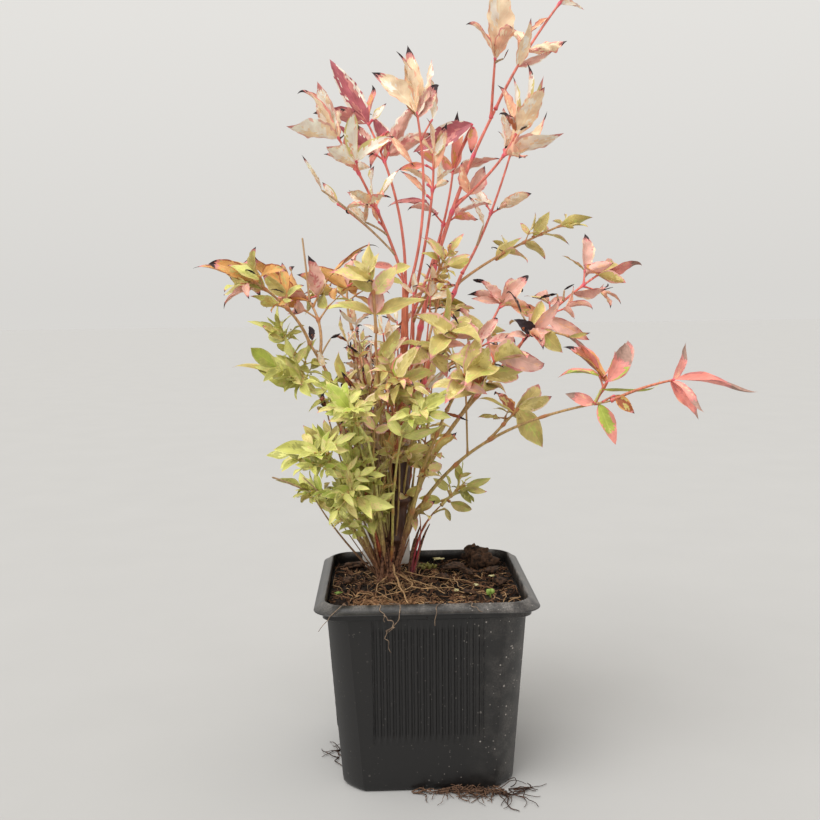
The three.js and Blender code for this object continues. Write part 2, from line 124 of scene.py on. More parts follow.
# Sprays: stem and place on it, reach and bow of the main twig, leaf length, joints, stalk length,
# how far a pair opens in radians, palette, the joints of finer twigs that are grown between, and where
# it isn't PAIR_SHARE, the size of a pair's leaves over that of the one between them.
SPRAYS = {
    "spray_top_left": ("cane_main", 1, (-27, -10, 60), (2, 0, 1), 25, 2, 5, 0.7, "cream", 0),
    "spray_top_red": ("cane_main", 0.96, (-15, 15, 75), (5, 0, 1), 27, 1, 6, 0.6, "rose", 0),
    "spray_top_centre": ("cane_main", 0.95, (6, 2, 78), (5, 0, -2), 31, 0, 0, 0.42, "cream", 0),
    "spray_top": ("cane_right", 1, (36, 10, 55), (-3, 0, -1), 21, 2, 0, 0.6, "cream", 0),
    "spray_top_inner": ("cane_right", 0.98, (1, -8, 24), (0, 0, 1), 29, 0, 0, 0.5, "cream", 0),
    "spray_upper_right": ("cane_right", 0.78, (27, -3, 31), (4, 0, 1), 33, 1, 3, 0.45, "cream", 0),
    "spray_back_rise": ("cane_back", 1, (24, 14, 55), (0, 0, -5), 17, 1, 5, 0.6, "cream", 0),
    "spray_back_side": ("cane_back", 0.96, (51, 24, 27), (-4, 0, 0), 16, 3, 0, 0.6, "leaf", 0),
    "spray_centre_rise": ("stem_mid", 1, (9, -3, 62), (3, 0, 6), 17, 1, 3, 0.6, "cream", 0),
    "spray_centre_rose": ("stem_mid", 0.96, (19, 19, 62), (3, 0, 2), 26, 1, 7, 0.9, "rose", 0),
    "spray_centre_small": ("stem_mid", 0.93, (13, -13, 26), (0, 0, 0), 14, 2, 5, 0.9, "leaf", 0),
    "spray_far_left": ("stem_left", 1, (-21, -12, 26), (3, 0, 1), 20, 2, 6, 0.8, "autumn", 0),
    "spray_left_arch": ("stem_left", 0.93, (-6, 14, 26), (3, 0, 1), 23, 1, 8, 1.1, "autumn", 0),
    "spray_front_trio": ("stem_front", 1, (-1, -5, 21), (0, 0, 0), 20, 1, 0, 1.25, "leaf", 0),
    "spray_low_left": ("stem_low_left", 1, (-13, -6, 12), (0, 0, 1), 24, 1, 5, 0.8, "lime", 1),
    "spray_lime_left": ("stem_low_left", 0.96, (-21, 13, 32), (-3, 0, 1), 14, 2, 5, 0.9, "lime", 1),
    "spray_inner_left": ("stem_low_left", 0.7, (-4, -15, 27), (0, 0, 0), 16, 1, 5, 1, "lime", 1),
    "spray_back_arch": ("stem_back_left", 1, (-2, 5, 20), (-1, 0, 0), 22, 1, 6, 1.1, "autumn", 0),
    "spray_right_pink": ("stem_low_right", 1, (25, 21, 43), (0, 0, 0), 18, 1, 5, 1.1, "salmon", 0),
    "spray_right_dark": ("stem_right", 1, (8, -7, 14), (0, 0, 0), 19, 1, 5, 1.1, "salmon", 0),
    "spray_right_rise": ("stem_right", 0.93, (50, 26, 43), (-1, 0, 3), 18, 2, 8, 0.9, "salmon", 0),
    "spray_big_front": ("stem_right", 0.74, (12, -27, 25), (0, 0, 0), 26, 1, 4, 1.3, "mixed", 0),
    "spray_far_tip": ("stem_far", 1, (25, -6, 9), (0, 0, 1), 38, 0, 0, 0.95, "ember", 0, 0.55),
    "spray_far_cluster": ("stem_far", 0.96, (6, 2, 9), (0, 0, 0), 26, 1, 6, 1.1, "coral", 0),
    "spray_far_inner": ("stem_far", 0.64, (11, 2, 11), (0, 0, 0), 20, 1, 5, 1.2, "leaf", 0),
    "spray_right_inner": ("stem_low_right", 0.97, (7.6, -14, 18), (0, 0, 0), 18, 1, 6, 1.1, "mixed", 0),
    "spray_mid_pink": ("stem_mid", 0.75, (14.6, -26.2, 18), (0, 0, 0), 19, 2, 5, 1.2, "mixed", 1),
    "spray_centre_low": ("stem_front", 0.7, (7, -9, 15), (0, 0, 0), 17, 2, 6, 1.1, "leaf", 1),
    "spray_front_green": ("shoot_front", 1, (5, -8, 8), (0, 0, 0), 17, 1, 4, 1, "lime", 1),
    "spray_low_right": ("shoot_right", 1, (9, 6, 7), (0, 0, 0), 10, 2, 7, 0.8, "lime", 0),
    "spray_foot_left": ("shoot_left", 1, (-8, -1, 6), (0, 0, 0), 18, 1, 4, 0.9, "lime", 1),
    "spray_lime_front": ("shoot_low_left", 1, (-12, -8, 11), (0, 0, 0), 18, 2, 7, 1, "lime", 2),
    "spray_lime_mid": ("shoot_mid", 1, (-7, -6, 13), (0, 0, 0), 17, 2, 6, 1, "lime", 2),
    "spray_lime_low": ("shoot_low_left", 0.7, (-6, -20, 9), (0, 0, 0), 16, 2, 6, 1, "lime", 2),
    "spray_inner_dry": ("stem_back_left", 0.75, (2, -12, 9), (0, 0, 0), 15, 2, 6, 1.1, "dry", 1),
    "spray_back_olive": ("stem_back_right", 1, (6, 12, 20), (0, 0, 0), 18, 2, 7, 1.1, "leaf", 1),
    "spray_back_right": ("stem_back_right", 0.7, (35, 23, 30), (0, 0, 0), 18, 2, 6, 1, "leaf", 1),
    "spray_back_low": ("stem_back_right", 0.4, (11, 26, 6), (0, 0, 0), 16, 2, 6, 1, "lime", 1),
}

# How a leaf looks: how often it does so, its body, the margin and its share of the half width, the tip and
# where along the rib it starts, and the blotches and their share; then how far its end hooks and its
# halves curl, in radians, and how crumpled it is.
Style = namedtuple("Style", "share body margin rim tip tip_from blotch spread hook curl crumple")

# The pale tint in these styles is a painted highlight on the leaves.
PALETTES = {
    "cream": (
        Style(5, "cream", "peach", 0.12, "char", 0.93, "pale", 0.28, 0.6, 0.5, 0.5),
        Style(4, "pale", "blush", 0.16, "rose", 0.93, "cream", 0.4, -0.4, 0.5, 0.6),
        Style(3, "peach", "rose", 0.14, "char", 0.9, "cream", 0.36, 1.0, 1.2, 0.8),
        Style(2, "pale", "gold", 0.22, "char", 0.95, "peach", 0.3, 0.3, 0.4, 0.3),
        Style(2, "cream", "coral", 0.2, "char", 0.84, "rose", 0.26, 1.8, 1.7, 1.0),
    ),
    "rose": (
        Style(4, "rose", "crimson", 0.2, "char", 0.93, "blush", 0.24, 0.6, 0.4, 0.4),
        Style(2, "crimson", "pale", 0.16, "crimson", 0.94, "rose", 0.3, -0.6, 0.3, 0.5),
        Style(4, "blush", "pale", 0.2, "char", 0.9, "rose", 0.3, 0.6, 0.6, 0.6),
        Style(1, "coral", "peach", 0.16, "char", 0.9, "ochre", 0.36, -1.0, 0.5, 0.4),
    ),
    "autumn": (
        Style(4, "ochre", "rust", 0.2, "char", 0.9, "olive", 0.3, 0.8, 0.4, 0.3),
        Style(3, "olive", "gold", 0.2, "char", 0.93, "lime", 0.3, 0.4, 0.3, 0.3),
        Style(3, "lime", "gold", 0.2, "char", 0.95, "leaf", 0.3, 0.3, 0.3, 0.2),
        Style(2, "blush", "rose", 0.16, "char", 0.88, "peach", 0.3, 0.8, 0.6, 0.5),
    ),
    "salmon": (
        Style(5, "blush", "rose", 0.1, "char", 0.94, "peach", 0.26, 0.7, 0.4, 0.3),
        Style(3, "blush", "cream", 0.1, "char", 0.86, "rose", 0.25, 1.2, 0.5, 0.5),
        Style(2, "olive", "blush", 0.25, "rose", 0.9, "gold", 0.3, 0.5, 0.4, 0.3),
        Style(2, "peach", "blush", 0.2, "char", 0.88, "gold", 0.3, 0.9, 0.8, 0.6),
    ),
    "coral": (
        Style(4, "coral", "rose", 0.1, "ash", 0.7, "peach", 0.16, 0.9, 0.5, 0.3),
        Style(2, "coral", "blush", 0.16, "ash", 0.9, "rose", 0.2, 0.5, 0.4, 0.3),
        Style(2, "green", "coral", 0.3, "coral", 0.75, "lime", 0.36, 0.7, 0.5, 0.3),
        Style(1, "rust", "ochre", 0.2, "char", 0.9, "olive", 0.3, 0.4, 0.4, 0.3),
        Style(0, "coral", "green", 0.2, "ash", 0.62, "rose", 0.2, 1.2, 0.6, 0.3),
    ),
    "ember": (
        Style(3, "coral", "rose", 0.1, "ash", 0.66, "peach", 0.2, -0.9, 0.8, 0.3),
        Style(0, "coral", "peach", 0.12, "ash", 0.86, "rose", 0.3, 0.4, 0.4, 0.3),
    ),
    "mixed": (
        Style(4, "gold", "blush", 0.18, "rose", 0.9, "olive", 0.45, 0.7, 0.4, 0.2),
        Style(1, "blush", "gold", 0.16, "rose", 0.95, "peach", 0.3, 0.7, 0.4, 0.2),
        Style(2, "olive", "gold", 0.16, "rose", 0.96, "leaf", 0.36, 0.4, 0.3, 0.2),
    ),
    "leaf": (
        Style(5, "olive", "gold", 0.16, "rose", 0.96, "leaf", 0.3, 0.4, 0.3, 0.2),
        Style(3, "gold", "cream", 0.12, "char", 0.96, "olive", 0.34, 0.4, 0.3, 0.3),
        Style(2, "olive", "ochre", 0.25, "char", 0.92, "gold", 0.3, -0.7, 0.5, 0.4),
        Style(2, "gold", "blush", 0.22, "rose", 0.88, "peach", 0.25, 0.3, 0.4, 0.3),
        Style(1, "rust", "ochre", 0.2, "char", 0.85, "olive", 0.3, 0.8, 0.8, 0.6),
    ),
    # In this palette the moss tint is a painted shade among the lime leaves.
    "lime": (
        Style(6, "lime", "leaf", 0.16, "lime", 0.97, "gold", 0.3, 0.2, 0.25, 0.15),
        Style(4, "leaf", "lime", 0.24, "gold", 0.96, "moss", 0.3, 0.3, 0.25, 0.15),
        Style(2, "gold", "lime", 0.24, "rose", 0.94, "olive", 0.25, 0.3, 0.3, 0.2),
        Style(2, "moss", "leaf", 0.24, "gold", 0.95, "lime", 0.3, 0.3, 0.3, 0.2),
        Style(2, "green", "lime", 0.2, "gold", 0.96, "leaf", 0.3, 0.2, 0.2, 0.1),
    ),
    "dry": (
        Style(3, "pale", "peach", 0.2, "char", 0.88, "cream", 0.3, 1.4, 1.6, 1.0),
        Style(2, "cream", "rose", 0.16, "char", 0.84, "peach", 0.4, 1.0, 1.3, 1.0),
        Style(2, "rust", "ash", 0.3, "char", 0.7, "char", 0.3, 2.0, 2.2, 1.2),
        Style(2, "gold", "cream", 0.2, "char", 0.92, "olive", 0.3, 0.5, 0.8, 0.6),
        Style(0, "char", "ash", 0.1, "char", 0.6, "rust", 0.12, 1.4, 1.5, 1.0),
    ),
}
WITHERED = Style(1, "char", "ash", 0.14, "char", 0.3, "rust", 0.2, 2.8, 2.4, 1.4)
SLOTS = {
    **dict.fromkeys(("pale", "cream", "peach"), "cream_leaf"),
    **dict.fromkeys(("gold", "olive", "ochre"), "olive_leaf"),
    "rust": "rose_leaf",
    **dict.fromkeys(("moss", "leaf", "green", "lime"), "lime_leaf"),
    **dict.fromkeys(("rose", "crimson"), "rose_leaf"),
    "blush": "salmon_leaf",
    "coral": "coral_leaf",
    "char": "rose_leaf",
    "ash": "coral_leaf",
}
# Each palette's habit: the leaf piece that stands for its solids, its kind of twig, its leaves' width over
# length, over the leaf settings' own, and how many are cut into leaflets or have a withered one beside them.
Habit = namedtuple("Habit", "carrier twig breadth cut withers")

HABITS = {
    "cream": Habit("cream", "red_cane", 0.9, 0, 0.12),
    "rose": Habit("rose", "red_cane", 0.85, 0, 0.12),
    "autumn": Habit("ochre", "olive", 1, 0.15, 0.14),
    "salmon": Habit("blush", "red_cane", 1, 0, 0.2),
    "coral": Habit("coral", "red_cane", 0.9, 0, 0.03),
    "ember": Habit("coral", "red_cane", 0.55, 0, 0.03),
    "mixed": Habit("gold", "olive", 1.2, 0, 0.16),
    "leaf": Habit("olive", "olive", 1.1, 0.3, 0.14),
    "lime": Habit("lime", "green", 1.05, 0.75, 0.03),
    "dry": Habit("pale", "tan", 1, 0.4, 0.3),
}
TINTS = tuple(SLOTS)
DEAD = ("char", "ash")


def linear(hex_colour):
    """Turns an sRGB hex colour to linear light: ((c + 0.055) / 1.055) ^ 2.4, or c / 12.92 where dark."""
    channels = [int(hex_colour[i : i + 2], 16) / 255 for i in (1, 3, 5)]
    return tuple(c / 12.92 if c <= 0.04045 else ((c + 0.055) / 1.055) ** 2.4 for c in channels)


def colour(name, description, hex_colour):
    """A colour property whose default is an sRGB hex value."""
    return FloatVectorProperty(
        name=name,
        description=description,
        subtype="COLOR",
        size=3,
        min=0,
        max=1,
        default=linear(hex_colour),
    )


def metres(name, description, default):
    """A property that is a length in metres."""
    return FloatProperty(name=name, description=description, default=default, unit="LENGTH")


class BAMBOO_PG_tints(bpy.types.PropertyGroup):
    """One colour for each leaf tint."""

    # Pale is a painted highlight: a whiter copy of the cream tint, dealt over leaves where it stands in for
    # light falling on them.
    pale: colour("Pale", "Bleached leaf", "#fff1e0")
    cream: colour("Cream", "Pale young leaf", "#fbdbb8")
    peach: colour("Peach", "Young leaf turning pink", "#f4b999")
    gold: colour("Gold", "Yellow-green leaf", "#dccb85")
    olive: colour("Olive", "Grown leaf", "#c8b56c")
    ochre: colour("Ochre", "Leaf browned by cold", "#dda562")
    rust: colour("Rust", "Leaf turned brown", "#ab6240")
    # Moss is a painted shade: a darker copy of the leaf green, dealt among the lime leaves where it stands in
    # for shade.
    moss: colour("Moss", "Shaded leaf", "#a9a75a")
    leaf: colour("Leaf green", "Fresh grown leaf", "#c3c268")
    green: colour("Green", "Brightest green leaf", "#b6c257")
    lime: colour("Lime", "Young leaf near the foot", "#d2d07a")
    rose: colour("Rose", "Reddened leaf", "#d88a84")
    crimson: colour("Crimson", "Deepest red leaf", "#b8646c")
    blush: colour("Blush", "Salmon-pink leaf", "#e8b4a4")
    coral: colour("Coral", "Brightest red-orange leaf", "#f39c8e")
    char: colour("Charred", "Leaf blackened by cold", "#33272a")
    ash: colour("Ash", "Dead grey-brown leaf", "#a18174")


class BAMBOO_PG_leaves(bpy.types.PropertyGroup):
    """The shape of the leaflets."""

    slender: FloatProperty(name="Width over length", description="At the widest", default=0.4, min=0.1, max=1)
    fold: FloatProperty(
        name="Fold", description="How far each half lifts from the rib", default=0.3, subtype="ANGLE"
    )
    wave: FloatProperty(name="Wave", description="Margin wave over half width", default=0.14, min=0, max=1)
    seed: IntProperty(name="Seed", description="Deals out tints and curls", default=11, min=0)


class BAMBOO_PG_pot(bpy.types.PropertyGroup):
    """The pot's moulded detail and colours."""

    rib_pitch: metres("Rib pitch", "Between neighbouring ribs", 0.00245)
    rib_height: metres("Rib height", "Relief of the ribs", 0.0008)
    panel: metres("Panel width", "Across the ribbed panel", 0.0441)
    body: colour("Plastic", "Carbon black plastic", "#191818")
    dust: colour("Dust", "Dried splashes and handling dust", "#a8a19a")


class BAMBOO_PG_compost(bpy.types.PropertyGroup):
    """The compost's relief and colours."""

    relief: metres("Relief", "Height of the clods", 0.004)
    chips: IntProperty(name="Chips", description="Loose crumbs and bark chips", default=1700, min=0)
    fibres: IntProperty(name="Fibres", description="Loose fibres and rootlets", default=620, min=0)
    peat: colour("Peat", "Damp peat", "#22170f")
    bark: colour("Bark", "Composted bark", "#5a3d2a")
    fibre: colour("Fibre", "Straw-coloured fibre", "#c39c70")
    root: colour("Root", "Brown rootlets", "#7c583d")


class BAMBOO_PG_stage(bpy.types.PropertyGroup):
    """The floor and the light."""

    floor: colour("Floor", "Pale matt floor", "#b0afad")
    air: colour("Surround", "Pale surround", "#f7f5f1")
    fill: FloatProperty(name="Surround light", description="Radiance at the horizon", default=0.74, min=0)
    above: FloatProperty(
        name="Light from above", description="How much brighter the surround is overhead", default=0.5, min=0
    )
    key: FloatProperty(name="Key light", description="Strength of the wide soft sun", default=2.2, min=0)
    soft: FloatProperty(name="Softness", description="Width of the sun", default=0.9, subtype="ANGLE")


class BAMBOO_PG_settings(bpy.types.PropertyGroup):
    """All settings of the plant, its pot and its stage."""

    tints: PointerProperty(type=BAMBOO_PG_tints)
    leaves: PointerProperty(type=BAMBOO_PG_leaves)
    pot: PointerProperty(type=BAMBOO_PG_pot)
    compost: PointerProperty(type=BAMBOO_PG_compost)
    stage: PointerProperty(type=BAMBOO_PG_stage)


# Shapes


def unit(v):
    """Vectors over their own length."""
    return v / np.linalg.norm(v, axis=-1, keepdims=True)


class Arc:
    """A straight reach with its middle bowed out: start + reach t + 4 bow t (1 - t)."""

    def __init__(self, start, reach, bow=(0, 0, 0)):
        self.start = np.asarray(start, float)
        self.reach = np.asarray(reach, float)
        self.bow = np.asarray(bow, float)
        self.length = float(np.linalg.norm(self.reach))

    def point(self, t):
        t = np.asarray(t, float)[..., None]
        return self.start + self.reach * t + self.bow * 4 * t * (1 - t)

    def heading(self, t):
        return unit(self.reach + self.bow * (4 - 8 * t))


DICE_FACTOR, DICE_STEP, DICE_SPAN = 1664525, 1013904223, 2**32


def dice(seed):
    """The seeded row of numbers from 0 to 1 that the solids grow by: s -> (factor s + step) mod span."""
    state = seed

    def roll():
        nonlocal state
        state = (state * DICE_FACTOR + DICE_STEP) % DICE_SPAN
        return state / DICE_SPAN

    return roll


def facing(heading, turn):
    """The direction square to the heading nearest to where leaves face, turned about the heading."""
    face = unit(FACING - heading * FACING.dot(heading))
    return face * math.cos(turn) + np.cross(heading, face) * math.sin(turn)


def leaf_from(root, heading, face, angle, tilt, size, roll):
    """A leaf set off at an angle from its twig and tilted out of their plane, as a dict."""
    side = unit(np.cross(face, heading))
    way = unit(heading * math.cos(angle) + side * math.sin(angle) + face * tilt)
    droop = math.hypot(way[0], way[1]) * (DROOP[0] + DROOP[1] * roll())
    blade = unit(np.cross(facing(way, LEAF_ROLL * (roll() - 0.5)), way))
    return {"root": root, "way": way, "side": blade, "size": size, "droop": droop}


def trio(curve, spread, length, roll, pair=PAIR_SHARE):
    """The joint at a twig's end: a leaf straight on, and one to each side just below it."""
    heading = curve.heading(1)
    face = facing(heading, TWIG_ROLL * (roll() - 0.5))
    leaves = []
    for order, hand in enumerate((0, 1, -1)):
        root = curve.point(1 - order * PAIR_STEP / curve.length)
        angle = hand * (spread + OPEN_JITTER * (roll() - 0.5))
        tilt = TILT_JITTER * (roll() - 0.5) - (max(0, spread - WIDE) if hand == 0 else 0)
        size = length * (1 if hand == 0 else pair) * (TRIO_SIZES[0] + TRIO_SIZES[1] * roll())
        leaves.append(leaf_from(root, heading, face, angle, tilt, size, roll))
    return leaves


def shoots(curve, length, joints, stalk, spread, roll):
    """Every side stalk and leaf that a spray could carry, in the order that they grow, and the place on
    the twig that each grows from."""
    parts = []
    for joint in range(joints):
        t = BARE + (TOP_JOINT - BARE) * (joint + 0.5 * (roll() + 0.5)) / joints
        heading = curve.heading(t)
        face = facing(heading, JOINT_TURN * (joint % 2) + TWIG_ROLL * (roll() - 0.5))
        for hand in (1, -1):
            root = curve.point(t + hand * PAIR_STEP / 2 / curve.length)
            angle = hand * (SIDE_OPEN + OPEN_JITTER * (roll() - 0.5))
            size = length * (SIDE_SIZES[0] + SIDE_SIZES[1] * roll())
            first = leaf_from(root, heading, face, angle, TILT_JITTER * (roll() - 0.4), size, roll)
            twig = Arc(root, first["way"] * stalk * (SIDE_STALKS[0] + SIDE_STALKS[1] * roll()))
            if stalk > 0:
                parts.append((twig, trio(twig, spread, size, roll), t))
            else:
                parts.append((None, [first], t))
    return parts


def in_solid(leaf, spots):
    """Whether a leaf's tip is a corner of its spray's solid, so that the solid kept this leaf."""
    tip = leaf["root"] + leaf["way"] * leaf["size"] - UP * leaf["droop"] * leaf["size"]
    return np.abs(spots - tip).sum(axis=1).min() < TIP_MATCH


def node_points(name):
    """A solid's corners in millimetres."""
    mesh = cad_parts[name].data
    spots = np.empty(len(mesh.vertices) * 3)
    mesh.vertices.foreach_get("co", spots)
    return spots.reshape(-1, 3) / MM


CELLS = 64  # after which the lattice repeats


def lattice(x, y, cell, seed):
    """Smooth noise from 0 to 1: random numbers on a square lattice, blended by 3 f^2 - 2 f^3."""
    table = np.random.default_rng(seed).random((CELLS, CELLS))
    i, j = np.floor(x / cell).astype(int), np.floor(y / cell).astype(int)
    fx, fy = x / cell - i, y / cell - j
    fx, fy = fx * fx * (3 - 2 * fx), fy * fy * (3 - 2 * fy)
    i, j, k, m = i % CELLS, j % CELLS, (i + 1) % CELLS, (j + 1) % CELLS
    low = table[i, j] * (1 - fx) + table[k, j] * fx
    high = table[i, m] * (1 - fx) + table[k, m] * fx
    return low * (1 - fy) + high * fy


def tubes(paths, radii, sides):
    """Closed tubes along n paths of m points. A ring is its point plus the radius times
    (cos a across + sin a through), both square to the run; a fan closes each end.
    Returns the points and lists of quads and triangles."""
    paths = np.asarray(paths, float)
    n, m = paths.shape[:2]
    run = unit(np.gradient(paths, axis=1))
    start = np.eye(3)[np.abs(run.mean(axis=1)).argmin(axis=1)][:, None]
    across = unit(start - run * (start * run).sum(axis=-1, keepdims=True))
    through = np.cross(run, across)
    turn = np.arange(sides) * 2 * math.pi / sides
    radii = np.asarray(radii, float)
    radii = radii[..., None] if radii.ndim == 2 else radii
    rim = np.cos(turn)[:, None] * across[:, :, None] + np.sin(turn)[:, None] * through[:, :, None]
    rings = paths[:, :, None] + radii[..., None] * rim
    points = np.concatenate([rings.reshape(n, m * sides, 3), paths[:, :1], paths[:, -1:]], axis=1)
    offset = (np.arange(n) * (m * sides + 2))[:, None, None]
    faces = [(group[None] + offset).reshape(-1, group.shape[1]) for group in closed_shell(m, sides)]
    return points.reshape(-1, 3), faces


def lathe_square(rows, side_points, corner_points, relief=None):
    """A closed shell round a square: each row gives half width, height, corner and roundness. The
    corner is a facet at roundness 0 and a quarter circle at 1, and in between their blend. relief
    moves a row's sides out, given the distance along the side and the height. Fans close both ends."""
    half, height, corner, roundness = (np.asarray(c, float)[:, None] for c in zip(*rows))
    corner = np.minimum(corner, 0.9 * half)
    run = np.linspace(-1, 1, side_points)[None] * (half - corner)
    out = half + (relief(run, height) if relief else 0 * run)
    turn = np.linspace(0, 1, corner_points + 2)[None, 1:-1]
    facet = half - corner * turn, half - corner + corner * turn
    bend = turn * math.pi / 2
    quarter = half - corner + corner * np.cos(bend), half - corner + corner * np.sin(bend)
    corner_x = facet[0] + (quarter[0] - facet[0]) * roundness
    corner_y = facet[1] + (quarter[1] - facet[1]) * roundness
    x = np.concatenate([out, corner_x], axis=1)
    y = np.concatenate([run, corner_y], axis=1)
    x, y = np.concatenate([x, -y, -x, y], axis=1), np.concatenate([y, x, -y, -x], axis=1)
    points = np.stack([x, y, np.broadcast_to(height, x.shape)], axis=-1)
    return points, closed_shell(points.shape[0], points.shape[1])


def closed_shell(rows, ring):
    """Quads between neighbouring rings of points and a fan at either end; the two middles come last."""
    k = np.arange(ring)
    after = (k + 1) % ring
    base = np.arange(rows - 1)[:, None] * ring
    quads = np.stack([base + k, base + after, base + ring + after, base + ring + k], axis=-1)
    last = (rows - 1) * ring
    foot = np.stack([np.full(ring, rows * ring), after, k], axis=-1)
    top = np.stack([np.full(ring, rows * ring + 1), last + k, last + after], axis=-1)
    return [quads.reshape(-1, 4), np.concatenate([foot, top])]


def with_middles(points):
    """Rows of points as one list, with the middles of the first and the last row added at its end."""
    ends = points[[0, -1]].mean(axis=1)
    return np.concatenate([points.reshape(-1, 3), ends])


def crumbs(places, sizes, look):
    """Small angular crumbs: an octahedron each, its corners stretched at random, turned at random."""
    n = len(places)
    corners = np.concatenate([np.eye(3), -np.eye(3)])[None] * look.uniform(0.6, 1.25, (n, 6, 1))
    turn = unit(look.normal(size=(n, 4)))
    w, x, y, z = turn.T
    spin = np.array(
        [
            [1 - 2 * (y * y + z * z), 2 * (x * y - z * w), 2 * (x * z + y * w)],
            [2 * (x * y + z * w), 1 - 2 * (x * x + z * z), 2 * (y * z - x * w)],
            [2 * (x * z - y * w), 2 * (y * z + x * w), 1 - 2 * (x * x + y * y)],
        ]
    ).transpose(2, 0, 1)
    points = np.einsum("nij,nkj->nki", spin, corners * sizes[:, None]) + places[:, None]
    faces = np.array([[0, 1, 2], [1, 3, 2], [3, 4, 2], [4, 0, 2], [1, 0, 5], [3, 1, 5], [4, 3, 5], [0, 4, 5]])
    return points.reshape(-1, 3), [(faces[None] + 6 * np.arange(n)[:, None, None]).reshape(-1, 3)]


def lump(place, radii, seed, rough, turn, rows=14, ring=20):
    """A ball drawn out to three radii, its reach scaled by 1 + rough (2 (c - 0.5) + 0.4 (f - 0.5)) where c
    and f are coarse and fine noise, then turned about z."""
    polar, round_ = np.meshgrid(
        np.linspace(0.08, math.pi - 0.08, rows), np.arange(ring) * 2 * math.pi / ring, indexing="ij"
    )
    ball = np.stack([np.sin(polar) * np.cos(round_), np.sin(polar) * np.sin(round_), -np.cos(polar)], axis=-1)
    coarse = lattice(ball[..., 0] * 3 + 20, ball[..., 1] * 3 + ball[..., 2] * 2 + 20, 1.15, seed)
    fine = lattice(ball[..., 0] * 9 + 60, ball[..., 1] * 9 - ball[..., 2] * 7 + 60, 1.2, seed + 1)
    ball = ball * (1 + rough * (coarse - 0.5) * 2 + 0.4 * rough * (fine - 0.5))[..., None] * radii
    c, k = math.cos(turn), math.sin(turn)
    ball = ball @ np.array([[c, k, 0], [-k, c, 0], [0, 0, 1]])
    return with_middles(ball + np.array(place)), closed_shell(rows, ring)


RIB_STEPS = 48  # of a leaf's rib, between which its points are read off
VEIN_SLANT = 0.14
HOOK_FROM = 0.6
LEAST_HALVES = (0.24, 0.03)  # half widths, near the stalk and beyond
STALK_END = 0.4  # along the rib


def blades(leaves, stations, columns, shape):
    """Leaf blades on a grid, t from 0 to 1 along and w from -1 to 1 across, whose rows slant as side veins
    do: they meet the rib at t and cross it at s = t + 4 slant t (1 - t) |w|. The rib's heading turns down
    by bend s + hook ((s - 0.6) / 0.4)^2, its steps add up to the rib, and the blade twists along it. The
    half width is slender size / 2 times s^0.8 (1 - s)^1.15 over its peak. From the rib each half rises at
    the angle fold + curl |w|: (sin(fold + curl |w|) - sin(fold)) / curl across and (cos(fold) -
    cos(fold + curl |w|)) / curl up, in half widths. Sines of s and w wave the margin and crumple the skin."""

    def column(key):
        return np.array([leaf[key] for leaf in leaves], float)[:, None, None]

    size, way, side = (np.array([leaf[key] for leaf in leaves], float) for key in ("size", "way", "side"))
    above = np.cross(way, side)
    fine = np.linspace(0, 1, RIB_STEPS + 1)[None, :, None]
    angle = column("bend") * fine + column("hook") * np.clip((fine - HOOK_FROM) / (1 - HOOK_FROM), 0, 1) ** 2
    heading = np.cos(angle) * way[:, None] - np.sin(angle) * above[:, None]
    normal = np.sin(angle) * way[:, None] + np.cos(angle) * above[:, None]
    steps = (heading[:, 1:] + heading[:, :-1]) / 2 * (size / RIB_STEPS)[:, None, None]
    roots = np.array([leaf["root"] for leaf in leaves])[:, None]
    rib = roots + np.concatenate([np.zeros((len(leaves), 1, 3)), steps.cumsum(axis=1)], axis=1)
    twist = column("twist") * fine
    lateral = np.cos(twist) * side[:, None] + np.sin(twist) * normal
    lift = np.cos(twist) * normal - np.sin(twist) * side[:, None]

    t, w = np.linspace(0, 1, stations + 1)[:, None], np.linspace(-1, 1, columns + 1)[None]
    s = t + 4 * VEIN_SLANT * t * (1 - t) * np.abs(w)
    step = np.minimum((s * RIB_STEPS).astype(int), RIB_STEPS - 1)
    share = (s * RIB_STEPS - step)[None, ..., None]

    def along(values):
        return values[:, step] * (1 - share) + values[:, step + 1] * share

    profile = s**0.8 * (1 - s) ** 1.15
    half = column("slender") * size[:, None, None] / 2 * profile / profile.max()
    half = np.maximum(half, np.where(s < STALK_END, *LEAST_HALVES))
    phase, crumple = column("phase"), column("crumple")
    half = half * (1 + 0.12 * crumple * np.sin(33 * s + phase) * np.abs(w))
    fold, curl = column("fold") * (1 - 0.35 * s), column("curl")
    end = fold + curl * np.abs(w)
    across = np.sign(w) * (np.sin(end) - np.sin(fold)) / curl
    rise = (np.cos(fold) - np.cos(end)) / curl
    rise = rise + shape.wave * np.sin(phase + 9 * s + 2.1 * (w > 0)) * w**2
    rise = rise + 0.1 * crumple * (np.sin(17 * s + 3 * w + phase) + np.sin(29 * s - 5 * w + 1.7 * phase))
    points = along(rib) + (half * across)[..., None] * along(lateral) + (half * rise)[..., None] * along(lift)
    uv = np.stack(np.broadcast_arrays(s, (w + 1) / 2), axis=-1)
    return points, np.broadcast_to(uv, (len(leaves),) + uv.shape)


